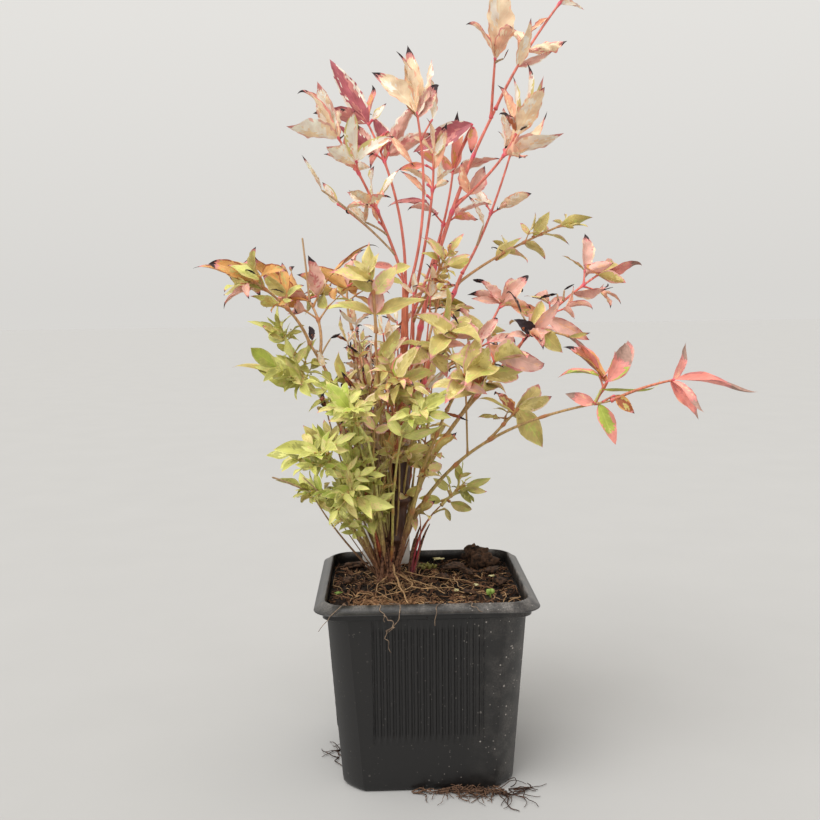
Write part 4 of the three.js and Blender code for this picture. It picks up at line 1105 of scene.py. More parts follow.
# Leaves set one by one on each limb: place on it, the blade's length and bearing, its width over its
# length, palette and style in it, hook, how far its face turns from the front, and where it grows on a
# finer stalk, the stalk's length and bearing. Bearings and turns are in degrees, 0 to the right and 90 up.
# A blade 0 long leaves the stalk bare.
SET_LEAVES = {
    "spray_top": (
        (0.36, 21, 74, 0.3, "cream", 0, 0.5, 10), (0.36, 18, 22, 0.24, "rose", 2, 0.3, 40),
        (0.4, 10, 95, 0.34, "cream", 2, 0.8, 0, 3, 100), (0.75, 13, 215, 0.3, "cream", 2, 0.3, 30),
    ),
    "spray_top_inner": ((0.9, 5, 60, 0.3, "dry", 2, 1.5, 20, 4, 20),),
    "spray_upper_right": (
        (1, 12, 128, 0.5, "dry", 2, 2.0, 30), (1, 24, 102, 0.3, "cream", 2, 0.4, 30),
        (1, 27, 62, 0.26, "leaf", 3, 0.2, 40),
    ),
    "spray_top_centre": (
        (0.97, 32, 96, 0.27, "cream", 0, 0.3, 12), (0.97, 16, 118, 0.4, "cream", 4, 2.0, 20),
        (0.97, 17, 60, 0.4, "salmon", 1, 1.6, -20), (0.86, 20, 88, 0.24, "cream", 1, 0.5, 30, 10, 60),
    ),
    "spray_centre_rose": (
        (1, 29, 203, 0.34, "rose", 1, 0.3, 0, 22, 67), (1, 12, 262, 0.4, "rose", 3, 1.0, 10, 21, 64),
    ),
    "spray_centre_rise": (
        (0.84, 21, 72, 0.36, "cream", 2, 0.3, 20), (0.84, 12, 186, 0.36, "rose", 3, 0.5, 0, 4, 150),
        (0.6, 15, 133, 0.26, "cream", 2, 0.4, 20, 3, 140),
    ),
    "cane_right": (
        (0.79, 15, 105, 0.46, "cream", 2, 0.6, -20, 7, 30), (0.79, 16, 58, 0.55, "salmon", 0, 0.4, 20, 7, 30),
    ),
    "spray_top_left": (
        (1, 25, 122, 0.28, "cream", 4, 1.8, 50), (0.93, 11, 62, 0.26, "rose", 0, 0.3, 0),
        (0.2, 16, 112, 0.25, "dry", 0, 0.2, 30, 41, 139), (0.2, 11, 122, 0.36, "cream", 3, 0.4, 0, 33, 138),
        (0.33, 11, 124, 0.42, "dry", 0, 1.4, 20, 11, 150), (0.33, 9, 84, 0.4, "dry", 1, 1.2, 0, 11, 150),
        (0.36, 8, 104, 0.5, "cream", 2, 0.8, 0, 5, 130),
    ),
    "spray_top_red": (
        (0.98, 30, 120, 0.27, "rose", 1, 0.3, 0), (0.98, 9, 48, 0.4, "cream", 3, 0.3, 0, 3, 50),
        (0.88, 17, 246, 0.32, "rose", 3, 0.8, 20, 5, 45), (0.88, 14, 262, 0.28, "cream", 4, 0.6, 0, 7, 40),
        (0.82, 17, 304, 0.24, "cream", 2, 0.2, 20, 8, 55),
    ),
    "spray_back_rise": ((0.3, 15, 115, 0.25, "dry", 0, 0.3, 20, 10, 72),),
    "spray_centre_small": ((1, 12, 125, 0.36, "leaf", 3, 0.3, 20),),
    "spray_back_side": (
        (0.46, 18, 44, 0.42, "leaf", 0, 0.3, -20, 2, 250), (0.78, 15, 53, 0.36, "leaf", 0, 0.2, 15, 1, 90),
    ),
    "spray_left_arch": (
        (1, 28, 140, 0.24, "autumn", 0, -1.5, 36, 3, 180), (0.9, 16, 170, 0.3, "autumn", 0, 0.2, 40),
        (0.95, 18, 100, 0.5, "salmon", 1, 0.4, 10, 5, 15), (0.8, 27, 42, 0.2, "autumn", 0, 1.5, -72, 14, 60),
        (0.9, 0, 0, 0, "dry", 0, 0, 0, 27, 95), (1, 9, 135, 0.3, "dry", 4, -1.3, 0, 19, 152),
    ),
    "stem_left": (
        (1, 7, 100, 0.5, "dry", 4, 1.8, 0, 2, 60), (0.97, 8, 290, 0.6, "dry", 0, 1.5, 0, 2, 350),
        (0.93, 5, 30, 0.5, "dry", 4, 1.0, 0, 10, 60),
    ),
    "spray_far_left": ((1, 25, 160, 0.28, "autumn", 0, 0.9, 34), (0.86, 24, 147, 0.42, "autumn", 2, 0.2, 10)),
    "spray_lime_left": ((1, 17, 158, 0.27, "lime", 0, 0.4, 40), (0.92, 12, 146, 0.36, "autumn", 1, 0.3, 0)),
    "spray_low_left": ((1, 28, 166, 0.24, "leaf", 0, 0.9, 40),),
    "spray_front_trio": (
        (0.9, 9, 140, 0.36, "leaf", 1, 0.3, 0, 5, 110), (0.9, 9, 62, 0.34, "leaf", 1, 0.3, 0, 5, 110),
        (0.35, 17, 158, 0.3, "leaf", 0, 0.5, 30), (0.35, 22, 22, 0.34, "leaf", 0, 0.4, -30),
        (0.35, 12, 84, 0.66, "salmon", 0, 0.3, 0),
    ),
    "spray_back_arch": ((1, 12, 158, 0.34, "rose", 3, 0.5, 30, 8, 30),),
    "spray_mid_pink": (
        (1, 20, 150, 0.5, "mixed", 0, 0.4, 10, 4, 330), (1, 6, 118, 0.2, "dry", 4, -2.0, 30, 5, 40),
    ),
    "spray_centre_low": (
        (0.6, 19, 58, 0.3, "leaf", 1, 0.3, 20, 7, 170), (1, 10, 80, 0.66, "coral", 2, 0.4, 0),
    ),
    "stem_back_left": ((0.88, 13, 44, 0.56, "lime", 3, 0.5, 0, 4, 200),),
    "cane_main": (
        (1, 10, 172, 0.42, "coral", 1, 0.5, 20, 9, 125), (0.8, 11, 72, 0.24, "dry", 1, 2.2, 10, 6, 200),
    ),
    "stem_back_right": (
        (0.85, 7, 133, 0.6, "lime", 2, 0.3, 10, 2, 20), (0.85, 14, 40, 0.42, "cream", 4, 0.6, 0, 2, 20),
    ),
    "stem_front": ((0.89, 18, 56, 0.36, "autumn", 1, 0.3, 20),),
    "stem_low_right": (
        (0.99, 8, 192, 0.24, "dry", 2, 0.8, 20), (0.99, 10, 338, 0.24, "dry", 2, 0.6, 30),
        (0.99, 5, 100, 0.4, "dry", 4, 1.6, 20, 4, 60),
    ),
    "stem_right": ((0.9, 10, 222, 0.42, "coral", 1, 0.3, 10),),
    "shoot_front": (
        (0.97, 14, 62, 0.45, "lime", 0, 0.3, 10), (0.97, 13, 124, 0.4, "lime", 0, 0.3, -10),
        (0.97, 17, 12, 0.3, "lime", 0, 0.5, 30),
    ),
    "spray_right_pink": (
        (1, 15, 134, 0.42, "salmon", 1, 0.6, 10), (1, 14, 170, 0.25, "salmon", 0, 0.3, 30),
        (1, 17, 46, 0.46, "salmon", 1, 1.4, 10), (0.95, 18, 338, 0.42, "salmon", 3, 0.5, 20, 5, 20),
        (1, 6, 165, 0.5, "dry", 4, 1.6, 0, 11, 128), (1, 5, 292, 0.6, "dry", 4, 1.2, 0, 11, 50),
    ),
    "spray_right_rise": (
        (0.5, 22, 331, 0.3, "salmon", 0, 0.4, 20), (0.75, 17, 8, 0.44, "salmon", 1, 1.6, 50),
        (1, 9, 155, 0.52, "autumn", 0, 0.2, 0), (1, 21, 20, 0.34, "coral", 0, -2.2, 62),
        (0.62, 9, 195, 0.3, "dry", 4, 0.9, 0, 5, 100), (0.66, 5, 30, 0.3, "dry", 4, 0.9, 0, 5, 85),
    ),
    "spray_right_dark": (
        (1, 11, 138, 0.72, "dry", 4, 0.6, 0, 3, 300), (1, 12, 112, 0.2, "dry", 4, 2.2, 30, 8, 118),
        (1, 13, 314, 0.56, "leaf", 0, 0.3, 10, 4, 0), (1, 9, 8, 0.26, "leaf", 2, 0.2, 30, 16, 350),
    ),
    "spray_big_front": (
        (1, 28, 337, 0.34, "salmon", 0, 1.5, 40, 7, 115), (0.9, 17, 168, 0.45, "mixed", 2, 0.3, 20),
        (0.8, 17, 6, 0.34, "leaf", 0, 0.3, 30), (0.87, 11, 243, 0.62, "dry", 4, 0.3, 0, 4, 150),
    ),
    "spray_right_inner": ((1, 12, 242, 0.46, "leaf", 4, 0.4, 0, 8, 30),),
    "spray_far_inner": (
        (1, 18, 150, 0.22, "leaf", 0, 1.0, 62), (0.95, 19, 304, 0.56, "leaf", 0, 0.3, -10, 3, 40),
        (1, 16, 16, 0.46, "leaf", 1, 0.4, 20, 3, 50),
    ),
    "stem_far": (
        (0.96, 20, 56, 0.5, "coral", 4, 1.0, 20, 11, 60), (0.96, 13, 158, 0.42, "coral", 0, 0.3, 0),
        (0.96, 30, 358, 0.13, "lime", 4, 1.4, 70, 7, 66), (0.98, 11, 316, 0.5, "coral", 3, 0.4, 0, 6, 30),
        (0.96, 19, 292, 0.42, "coral", 2, 0.4, 10, 2, 0), (0.55, 0, 0, 0, "leaf", 0, 0, 0, 26, 91),
    ),
    "shoot_left": ((0.9, 0, 0, 0, "dry", 0, 0, 0, 34, 150),),
    "spray_far_tip": ((0.93, 20, 306, 0.46, "ember", 1, 0.3, 0),),
    "spray_low_right": (
        (0.5, 9, 140, 0.5, "lime", 0, 0.3, 10, 3, 110), (0.9, 9, 95, 0.45, "lime", 0, 0.3, 0, 4, 80),
        (1, 13, 10, 0.36, "lime", 0, 0.4, 30, 3, 20), (1, 10, 350, 0.36, "lime", 2, 0.3, 20, 3, 350),
        (1, 10, 305, 0.4, "lime", 3, 0.3, 0), (0.4, 11, 165, 0.45, "lime", 1, 0.3, 10, 4, 200),
        (0.3, 12, 335, 0.45, "leaf", 0, 0.5, 20, 2, 330),
    ),
    "shoot_right": ((0.85, 7, 290, 0.4, "lime", 2, 0.3, 0, 6, 20),),
}
FRONT = np.array((0.0, -1.0, 0.25))


def bearing(degrees, lean):
    """The direction at a bearing in the front plane, leaned to the back by a share."""
    angle = math.radians(degrees)
    return unit(np.array((math.cos(angle), lean, math.sin(angle))))


def grow_set_leaves(curves, look, shape):
    """The leaves that are set one by one, each off its limb or off a stalk, with a little depth."""
    limbs = dict(curves)
    for name, (stem, at, reach, bow, *_) in SPRAYS.items():
        limbs[name] = Arc(curves[stem].point(at), reach, bow)
    leaves, twigs = [], []
    rows = [(limb, *row, 0, 0)[:11] for limb, rows in SET_LEAVES.items() for row in rows]
    for limb, at, size, way, width, palette, style, hook, turn, stalk, aim in rows:
        root = limbs[limb].point(at)
        if stalk:
            twig = Arc(root, stalk * bearing(aim, look.uniform(-0.3, 0.2)), (0, 0, 0.04 * stalk))
            twigs.append((twig, STALK_RADII, HABITS[palette].twig, []))
            root = twig.point(1)
        if size:
            way = bearing(way, look.uniform(-0.35, 0.25))
            face = unit(FRONT - way * FRONT.dot(way))
            turn = math.radians(turn)
            face = face * math.cos(turn) + np.cross(way, face) * math.sin(turn)
            leaf = {"root": root, "way": way, "side": np.cross(face, way), "size": size, "droop": 0.05}
            leaf = dressed(leaf, palette, look, shape, PALETTES[palette][style])
            leaf |= {"side": np.cross(face, way), "size": size, "hook": hook, "slender": width}
            leaves.append(leaf)
    return leaves, twigs


def grow_filling(look, shape):
    """Thin stalks from the clump's foot, scattered about their reach: some with small leaves at their
    ends, and some bare."""
    leaves, twigs = [], []

    def stalk(foot, reach, scatter):
        start = 0.5 * (np.array(foot) + look.uniform(-3, 3, 2)) + 0.5 * CROWN[:2]
        start = (*start, SOIL)
        way = np.array(reach) + np.array(scatter) * look.uniform(-1, 1, 3)
        return Arc(start, way, (look.uniform(-4, 4), look.uniform(-2, 5), look.uniform(0, 4)))

    for count, foot, reach, scatter, length, palette in FILLING:
        kind = HABITS[palette].twig
        for _ in range(count):
            curve = stalk(foot, reach, scatter)
            roll = dice(int(look.integers(1, 1 << 30)))
            size = length * look.uniform(0.75, 1.25)
            twigs.append((curve, FILLING_RADII, kind, []))
            grown = trio(curve, FILLING_OPEN, size, roll)
            for twig, more, _ in shoots(curve, size, 1, FILLING_STALK, FILLING_OPEN, roll):
                twigs.append((twig, FILLING_STALK_RADII, kind, []))
                grown += more
            leaves += [dressed(leaf, palette, look, shape) for leaf in grown]
            leaves += [withered(grown[0], look, shape) for _ in range(int(look.random() < 0.25))]
    for count, foot, reach, scatter, kind in BARE_STALKS:
        for _ in range(count):
            thick = look.uniform(0.28, 0.58)
            twigs.append((stalk(foot, reach, scatter), (thick, 0.5 * thick), kind, []))
    return leaves, twigs


LONG_TWIG, LARGE_LEAF = 12, 13  # lengths above which the finer grid is taken
TWIG_GRIDS = {True: (60, 8), False: (10, 6)}  # points along a twig and round it
LEAF_GRIDS = {True: (26, 10), False: (15, 8)}  # cells along a leaf and across it
TWIG_SWELL = 0.8  # where leaves part from a twig
TWIG_FOOT, FOOT_REACH, TIP_REACH, JOINT_REACH = 0.6, 1.6, 1.2, 1.1
MOST_JOINTS = 6


def twig_pieces(twigs, skins):
    """All twigs of a kind as one piece: tubes along their arcs that swell by a bell curve where leaves
    and stalks part from them."""
    for kind in sorted({twig[2] for twig in twigs}):
        parts, marks = [], []
        for long, (stations, sides) in TWIG_GRIDS.items():
            rows = [twig for twig in twigs if twig[2] == kind and (twig[0].length > LONG_TWIG) == long]
            if not rows:
                continue
            t = np.linspace(0, 1, stations)
            paths = np.array([curve.point(t) for curve, *_ in rows])
            girth = np.array([radii for _, radii, *_ in rows])[:, :, None]
            lengths = np.array([curve.length for curve, *_ in rows])[:, None]
            bell = TWIG_FOOT * np.exp(-((t * lengths / FOOT_REACH) ** 2))
            bell += np.exp(-(((1 - t) * lengths / TIP_REACH) ** 2)) * (kind != "tan")
            places = [(*joints, *[-1] * MOST_JOINTS)[:MOST_JOINTS] for *_, joints in rows]
            off = (t - np.array(places)[:, :, None]) * lengths[..., None]
            bell += np.exp(-((off / JOINT_REACH) ** 2)).max(axis=1)
            bell = np.minimum(bell, 1)
            radius = (girth[:, 0] * (1 - t) + girth[:, 1] * t) * (1 + TWIG_SWELL * bell)
            radius[:, -1] *= 0.5
            parts.append(tubes(paths, radius, sides))
            rings = np.repeat(bell, sides, axis=1)
            marks.append(np.concatenate([rings, np.zeros((len(rows), 2))], axis=1).ravel())
        marks = np.concatenate(marks)
        make_piece(f"twigs_{kind}", joined(parts), skins[kind], marks=marks)


def leaf_pieces(leaves, settings):
    """All leaves, cut along their cells into one piece for each tint."""
    look = np.random.default_rng(settings.leaves.seed + 1)
    points, faces, uv, tints, count = [], [], [], [], 0
    for large, (stations, columns) in LEAF_GRIDS.items():
        some = [leaf for leaf in leaves if (leaf["size"] > LARGE_LEAF) == large]
        spots, places = blades(some, stations, columns, settings.leaves)
        ring = columns + 1
        i, j = np.arange(stations)[:, None] * ring, np.arange(columns)[None]
        cell = np.stack([i + j, i + j + ring, i + j + ring + 1, i + j + 1], axis=-1).reshape(1, -1, 4)
        offset = np.arange(len(some))[:, None, None] * ring * (stations + 1) + count
        faces.append((cell + offset).reshape(-1, 4))
        tints.append(dealt_tints(some, stations, columns, look).ravel())
        points.append(spots.reshape(-1, 3))
        uv.append(places.reshape(-1, 2))
        count += len(points[-1])
    points, faces, uv, tints = (np.concatenate(part) for part in (points, faces, uv, tints))
    for index, tint in enumerate(TINTS):
        own = faces[tints == index]
        used, corners = np.unique(own, return_inverse=True)
        tone = getattr(settings.tints, tint)
        if tint in DEAD:
            material = dead_blade(f"Dead leaf, {tint}", tone)
        else:
            material = leaf_cuticle(f"Leaf cuticle, {tint}", tone)
        nodes = [name for name, row in SPRAYS.items() if HABITS[row[8]].carrier == tint]
        shape = points[used], [corners.reshape(own.shape)]
        make_piece(f"leaves_{tint}", shape, material, nodes, uv=uv[used])


# The pot, the compost and the roots


def pot_width(z):
    """Across the walls at a height: POT_FOOT + (POT_TOP - POT_FOOT) z / POT_HEIGHT."""
    return POT_FOOT + (POT_TOP - POT_FOOT) * z / POT_HEIGHT


def pot_rows():
    """The pot's section from the middle of its underside, up outside, over the lip and down inside."""
    rows = [(POT_FOOT / 2 * share, 0, POT_CHAMFER, 0) for share in np.linspace(0.04, 0.96, 9)]
    for z in (0.2, 0.6, 1.2, 2.2, *np.linspace(4, RIB_PANEL[0] - 1.6, 6)):
        rows.append((pot_width(z) / 2 - 0.9 * math.exp(-z / 0.7), z, POT_CHAMFER, 0.3))
    neck_foot = POT_HEIGHT - NECK_DROP
    for z in np.linspace(RIB_PANEL[0] - 0.8, neck_foot - 0.25, 24):
        rows.append((pot_width(z) / 2, z, POT_CHAMFER, 0.3))
    neck, skirt, lip = POT_NECK / 2, POT_HEIGHT - LIP_DROP, POT_LIP / 2
    rows += [(neck - 0.3, neck_foot, NECK_ROUND + 1, 1), (neck, neck_foot + 0.35, NECK_ROUND + 0.6, 1)]
    rows += [(neck, skirt - 0.6, NECK_ROUND, 1), (neck, skirt + 1, NECK_ROUND, 1)]
    rows += [(lip - LIP_THICK, skirt + 0.25, LIP_ROUND - 1, 1), (lip - 0.9, skirt, LIP_ROUND - 0.7, 1)]
    rows += [(lip - 0.25, skirt, LIP_ROUND, 1), (lip, skirt + 0.25, LIP_ROUND, 1)]
    rows += [(lip - 0.15, skirt + 0.6, LIP_ROUND, 1)]
    crest = LIP_TOP / 2
    for share in (0.3, 0.6, 0.85):
        rows.append((lip + (crest - lip) * share, skirt + LIP_DROP * share ** 0.9, LIP_ROUND, 1))
    top = POT_HEIGHT
    rows += [(crest - 0.1, top - 0.1, LIP_ROUND, 1), (crest - 0.6, top, LIP_ROUND, 1)]
    mouth = POT_NECK / 2 - POT_WALL
    rows += [(mouth + 0.3, top - 0.15, LIP_ROUND - 2, 1), (mouth, top - 0.7, NECK_ROUND + 1, 1)]
    rows += [(mouth, top - 3, NECK_ROUND, 1), (mouth, neck_foot + 0.6, NECK_ROUND, 1)]
    for z in np.linspace(neck_foot, POT_FLOOR + 0.6, 7):
        rows.append((pot_width(z) / 2 - POT_WALL, z, POT_CHAMFER * 0.95, 0.3))
    rows += [(POT_FOOT / 2 - POT_WALL - 0.6, POT_FLOOR, POT_CHAMFER * 0.9, 0), (4, POT_FLOOR, 2, 0)]
    return rows


RING, CORNER = 241, 9  # points along each of the pot's sides and round its corners


def pot_points(settings):
    """The pot's shell, ribbed by (1 + cos(2 pi a / pitch)) / 2 across each side's panel, where a is the
    distance along the side, and with four drainage channels sunk in its underside."""
    pitch, height, panel = settings.rib_pitch / MM, settings.rib_height / MM, settings.panel / MM

    def ribs(run, z):
        rib = 0.5 + 0.5 * np.cos(2 * math.pi * run / pitch)
        within = (np.abs(run) < panel / 2) & (z > RIB_PANEL[0]) & (z < RIB_PANEL[1])
        outside = z < POT_HEIGHT - NECK_DROP
        return height * rib * within * outside

    rows = pot_rows()
    points, faces = lathe_square(rows, RING, CORNER, ribs)
    inside = int(np.argmax([row[1] for row in rows])) + 1
    points[inside:] = [lathe_square([row], RING, CORNER)[0][0] for row in rows[inside:]]
    x, y = points[..., 0], points[..., 1]
    channel = np.minimum(np.abs(x), np.abs(y)) < DRAIN_WIDTH / 2
    sunk = channel & (np.maximum(np.abs(x), np.abs(y)) > DRAIN_INNER) & (points[..., 2] < 0.1)
    points[..., 2] = np.where(sunk, DRAIN_HEIGHT, points[..., 2])
    return with_middles(points), faces


CLOD, CRUMB, CRUMB_SHARE = 9.0, 2.4, 0.55
MOUND, MOUND_AT, MOUND_REACH = 2.2, (-13, 12), (14, 12)
LEVEL_FROM, LEVEL_OVER, LEVELLED = 33.5, 5, 0.9
FAR = 200  # keeps the noise's coordinates above zero


def ground(x, y, relief):
    """Height of the compost: clods and crumbs of noise, which level off at the walls, and a mound round
    the clump that falls off by e^(-(x / reach)^2 - (y / reach)^2) from its middle."""
    clods = lattice(x + FAR, y + FAR, CLOD, 3) - 0.5
    fine = lattice(x + FAR, y + FAR, CRUMB, 4) - 0.5
    off = ((x - MOUND_AT[0]) / MOUND_REACH[0]) ** 2 + ((y - MOUND_AT[1]) / MOUND_REACH[1]) ** 2
    level = 1 - LEVELLED * np.clip((np.maximum(np.abs(x), np.abs(y)) - LEVEL_FROM) / LEVEL_OVER, 0, 1)
    return SOIL - 0.3 + relief * level * (clods + CRUMB_SHARE * fine) + MOUND * np.exp(-off)


SOIL_RINGS, SOIL_SIDE, SOIL_CORNER = 64, 60, 5


def compost_points(relief):
    """The compost as one closed block: out from the middle underneath and up the pot's walls, then in
    rings to the middle of the top at the ground's height."""
    margin = POT_WALL + 0.15
    rows = []
    for z in (4, 20, 45, 66, POT_HEIGHT - NECK_DROP + 0.2):
        rows.append((pot_width(z) / 2 - margin, z, POT_CHAMFER - 1, 0))
    rim = POT_NECK / 2 - margin
    for share in 1 - np.linspace(0, 0.985, SOIL_RINGS):
        rows.append((rim * share, SOIL, NECK_ROUND * share, 1))
    rows.insert(0, (6, 4, 2, 0))
    points, faces = lathe_square(rows, SOIL_SIDE, SOIL_CORNER)
    top = points[6:]
    top[..., 2] = ground(top[..., 0], top[..., 1], relief)
    return with_middles(points), faces


# Dark flakes, green bits and pale bits on the compost: place, radii, seed, roughness and turn.
BARK_FLAKES = (
    ((14, 20, 78), (6, 3.6, 0.9), 21, 0.4, 0.5),
    ((20, 12, 77.6), (4.4, 2.2, 1.1), 22, 0.5, -0.7),
    ((31, 14, 77.4), (4, 2.6, 1.2), 23, 0.5, 1.1),
    ((-30, 26, 77.6), (5, 2.6, 1.2), 24, 0.5, 0.3),
    ((9, 4, 77.6), (3.8, 2, 1.1), 25, 0.5, 2.2),
    ((33, -4, 77.4), (3, 2.2, 1.4), 26, 0.5, 0.6),
    ((-33, 4, 77.4), (3.4, 2.2, 1.2), 27, 0.5, 1.8),
    ((18, -18, 77.4), (3.6, 1.8, 1), 28, 0.5, -0.4),
)
GREEN_BITS = (
    ((25.7, -22.8, 78.8), (1.1, 0.5, 1.3), 31, 0.2, 0.3),
    ((27.2, -22.4, 78.9), (1.2, 0.5, 1.1), 32, 0.2, -0.4),
    ((26.5, -22.6, 77.4), (0.25, 0.25, 1.3), 33, 0.2, 0.0),
    ((-36, -13, 76.6), (1.5, 0.8, 0.5), 34, 0.8, 0.5),
)
PALE_BITS = (
    ((8.2, 33.5, 77.8), (3, 1.4, 0.4), 41, 0.4, 0.2),
    ((13, -17, 78), (1.4, 0.8, 0.5), 42, 0.5, 0.9),
    ((30, 4, 77.8), (1.6, 1, 0.4), 43, 0.5, 0.3),
    ((22, -9, 77.8), (1.3, 0.7, 0.4), 44, 0.5, 2.0),
)


# Points along a fibre, a strand at the pot's foot, a root and a sheath.
FIBRE_STATIONS, STRAND_STATIONS, ROOT_STATIONS, SHEATH_STATIONS = 9, 16, 40, 7


def scattered(count, look, margin=1.3):
    """Places on the compost within the pot's walls and clear of its corners."""
    half = pot_width(SOIL) / 2 - margin
    spots = look.uniform(-half, half, (4 * count, 2))
    kept = np.abs(spots).sum(axis=1) < 2 * half - 0.6 * NECK_ROUND
    return spots[kept][:count]


def wandering(starts, headings, lengths, look, jitter, stations):
    """Flat paths of equal steps, whose headings turn by a random walk with a normal jitter."""
    turns = headings[:, None] + np.cumsum(look.normal(0, jitter, (len(starts), stations)), axis=1)
    steps = np.stack([np.cos(turns), np.sin(turns)], axis=-1) * (lengths / stations)[:, None, None]
    return starts[:, None] + np.cumsum(steps, axis=1)


def lying(starts, headings, lengths, look, relief, rise=0.5):
    """Wandering paths that lie on the compost, their middles arched up by a random height."""
    half = POT_NECK / 2 - 2.4
    spots = np.clip(wandering(starts, headings, lengths, look, 0.3, FIBRE_STATIONS), -half, half)
    t = np.linspace(0, 1, FIBRE_STATIONS)
    arch = rise * look.uniform(0.1, 2.4, (len(starts), 1)) * np.sin(math.pi * t)[None]
    height = ground(spots[..., 0], spots[..., 1], relief) + 0.3 + arch
    return np.concatenate([spots, height[..., None]], axis=-1)


def tapering(thick, ends, n, look):
    """Radii of n fibres, drawn up to 40% thinner or thicker."""
    t = np.linspace(0, 1, FIBRE_STATIONS)
    return (thick + (ends - thick) * t)[None] * look.uniform(0.6, 1.4, (n, 1))


# Roots on the front rim, most of them over it: points that each passes, from its start to its tip.
RIM_ROOTS = (
    (
        (-26, -33, 77.2), (-30, -39.5, 79), (-33.5, -42, 80.4),
        (-37.6, -45.6, 77.6), (-39.8, -46.3, 75), (-42.6, -46.8, 71.8),
    ),
    ((-20, -34, 77.4), (-19.4, -40.5, 79.6), (-18.6, -43, 79.8), (-17.3, -45.8, 77.2), (-16.9, -46, 74.8)),
    (
        (-15, -32, 77.6), (-13, -39, 79.8), (-11.2, -42.5, 80.2),
        (-11, -45.7, 77.4), (-12.6, -45.8, 74), (-16.4, -43.6, 70),
    ),
    ((-12.6, -45.8, 74), (-16.4, -43.6, 70), (-16.2, -42.6, 66.4), (-14.6, -41.8, 60.8)),
    ((-17.3, -45.8, 77.4), (-14.6, -46, 75), (-13.4, -46, 72.6), (-15.6, -44.4, 70.2)),
    ((2, -34, 77), (4.6, -40, 79.4), (3.8, -42.6, 80.2), (2.9, -45.7, 77.4), (2.5, -46, 72.8)),
    ((14, -36, 77.2), (16.5, -41, 80.2), (18, -43.6, 79.3), (21, -45.2, 77.8)),
    ((-3, -35, 78), (-1, -39.4, 79.6), (1, -38, 80), (0, -35, 78.4)),
)
# Straw-coloured roots on the compost, most of them out of the clump's foot: thickness, then the points.
CLUMP_ROOTS = (
    (1.05, (-13.2, 4, 84), (-12, -3, 80.4), (-9.6, -16, 78), (-7.4, -31, 77.2)),
    (0.6, (-12, 4, 80), (-5, -8, 78.4), (-12, -20, 78.4), (-22, -24, 77.8)),
    (0.55, (-15, 4, 79), (-20, -8, 78), (-19, -20, 78.4), (-14, -28, 78)),
    (0.6, (-10, 5, 79), (-4, -4, 78.4), (3, -10, 78), (8, -19, 77.4)),
    (0.5, (-8, 9, 79), (4, 2, 78.2), (16, -2, 78), (24, -10, 77.4)),
    (0.5, (-6, -12, 78.4), (2, -16, 78.6), (10, -14, 78.4), (16, -20, 77.8)),
    (0.6, (13, 2, 78), (13.6, -6, 78.4), (15, -14, 78.2), (19, -21, 77.6)),
)
WIGGLE = 0.45


def threaded(points):
    """A smooth path through the points, by Catmull and Rom's cubic between each two."""
    knots = np.asarray(points, float)
    knots = np.concatenate([[2 * knots[0] - knots[1]], knots, [2 * knots[-1] - knots[-2]]])
    t = np.linspace(0, len(points) - 1 - 1e-6, ROOT_STATIONS)
    k = np.floor(t).astype(int)
    f = (t - k)[:, None]
    a, b, c, d = (knots[k + i] for i in range(4))
    return 0.5 * (2 * b + (c - a) * f + (2 * a - 5 * b + 4 * c - d) * f**2 + (3 * b - a - 3 * c + d) * f**3)


def foot_strands(look, start, aim, fan, count, length, radius, wide=1.6):
    """Rootlets over the floor from under the pot's wall: each sets off at its own heading in the fan,
    wanders and ends thinner, and none lies below the floor."""
    starts = np.array(start) + look.uniform(-1, 1, (count, 2)) * (wide, 0.5)
    headings = aim + np.linspace(-fan, fan, count) + look.normal(0, 0.12, count)
    lengths = length * look.uniform(0.5, 1.1, count)
    spots = wandering(starts, headings, lengths, look, 0.32, STRAND_STATIONS)
    t = np.linspace(0, 1, STRAND_STATIONS)
    lift = radius + 0.1 + look.uniform(0, 2.2, (count, 1)) * np.sin(math.pi * t)[None] ** 2
    paths = np.concatenate([spots, lift[..., None]], axis=-1)
    return tubes(paths, (radius * (1 - 0.55 * t))[None] * look.uniform(0.6, 1.2, (count, 1)), 5)


# Strands at the pot's foot: start, aim and how far they fan out either side in radians, how many,
# how long and how thick, and where their starts are spread wider, how far.
RIGHT_STRANDS = (
    ((30, -36.8), -0.45, 0.95, 8, 21, 0.34, 4),
    ((27, -37), -1.2, 0.5, 5, 21, 0.34, 4),
    ((33, -35.4), 0.05, 0.35, 4, 13, 0.3),
    ((12, -37), -0.35, 0.35, 4, 14, 0.3, 4),
)
LEFT_STRANDS = (((-36.4, -4), 3.4, 0.9, 6, 14, 0.3), ((-36.2, 2), 3.0, 0.7, 4, 11, 0.28))
MAT_STRANDS = (
    ((0, -36.8), -0.05, 0.3, 14, 14, 0.3, 8),
    ((14, -36.8), 0.0, 0.25, 30, 14, 0.32, 11),
    ((22, -36.8), 3.14, 0.25, 30, 15, 0.3, 11),
)

# Operators

STEM_SEED, COMPOST_SEED, ROOT_SEED = 21, 31, 41
SHEATHS, SHEATH_HEIGHTS, SHEATH_RADII = 4, (6, 22), (0.7, 1.25)  # round each stem's foot
CLUMP_FIBRES, FIBRE_HEIGHTS, FIBRE_RADII = 170, (9, 30), (0.3, 0.95)
CLUMP_RADII = (5, 5.6, 5)
CLUMP_REACH = (4.4, 5)  # of its fibres to the side and to the back
MAT_FIBRES, MAT_ACROSS, MAT_DEEP = 230, (-33, -8), (-34, -20)
SMALL_ROOTS, SMALL_ROOTS_AT = 18, (-14.0, 6.0)


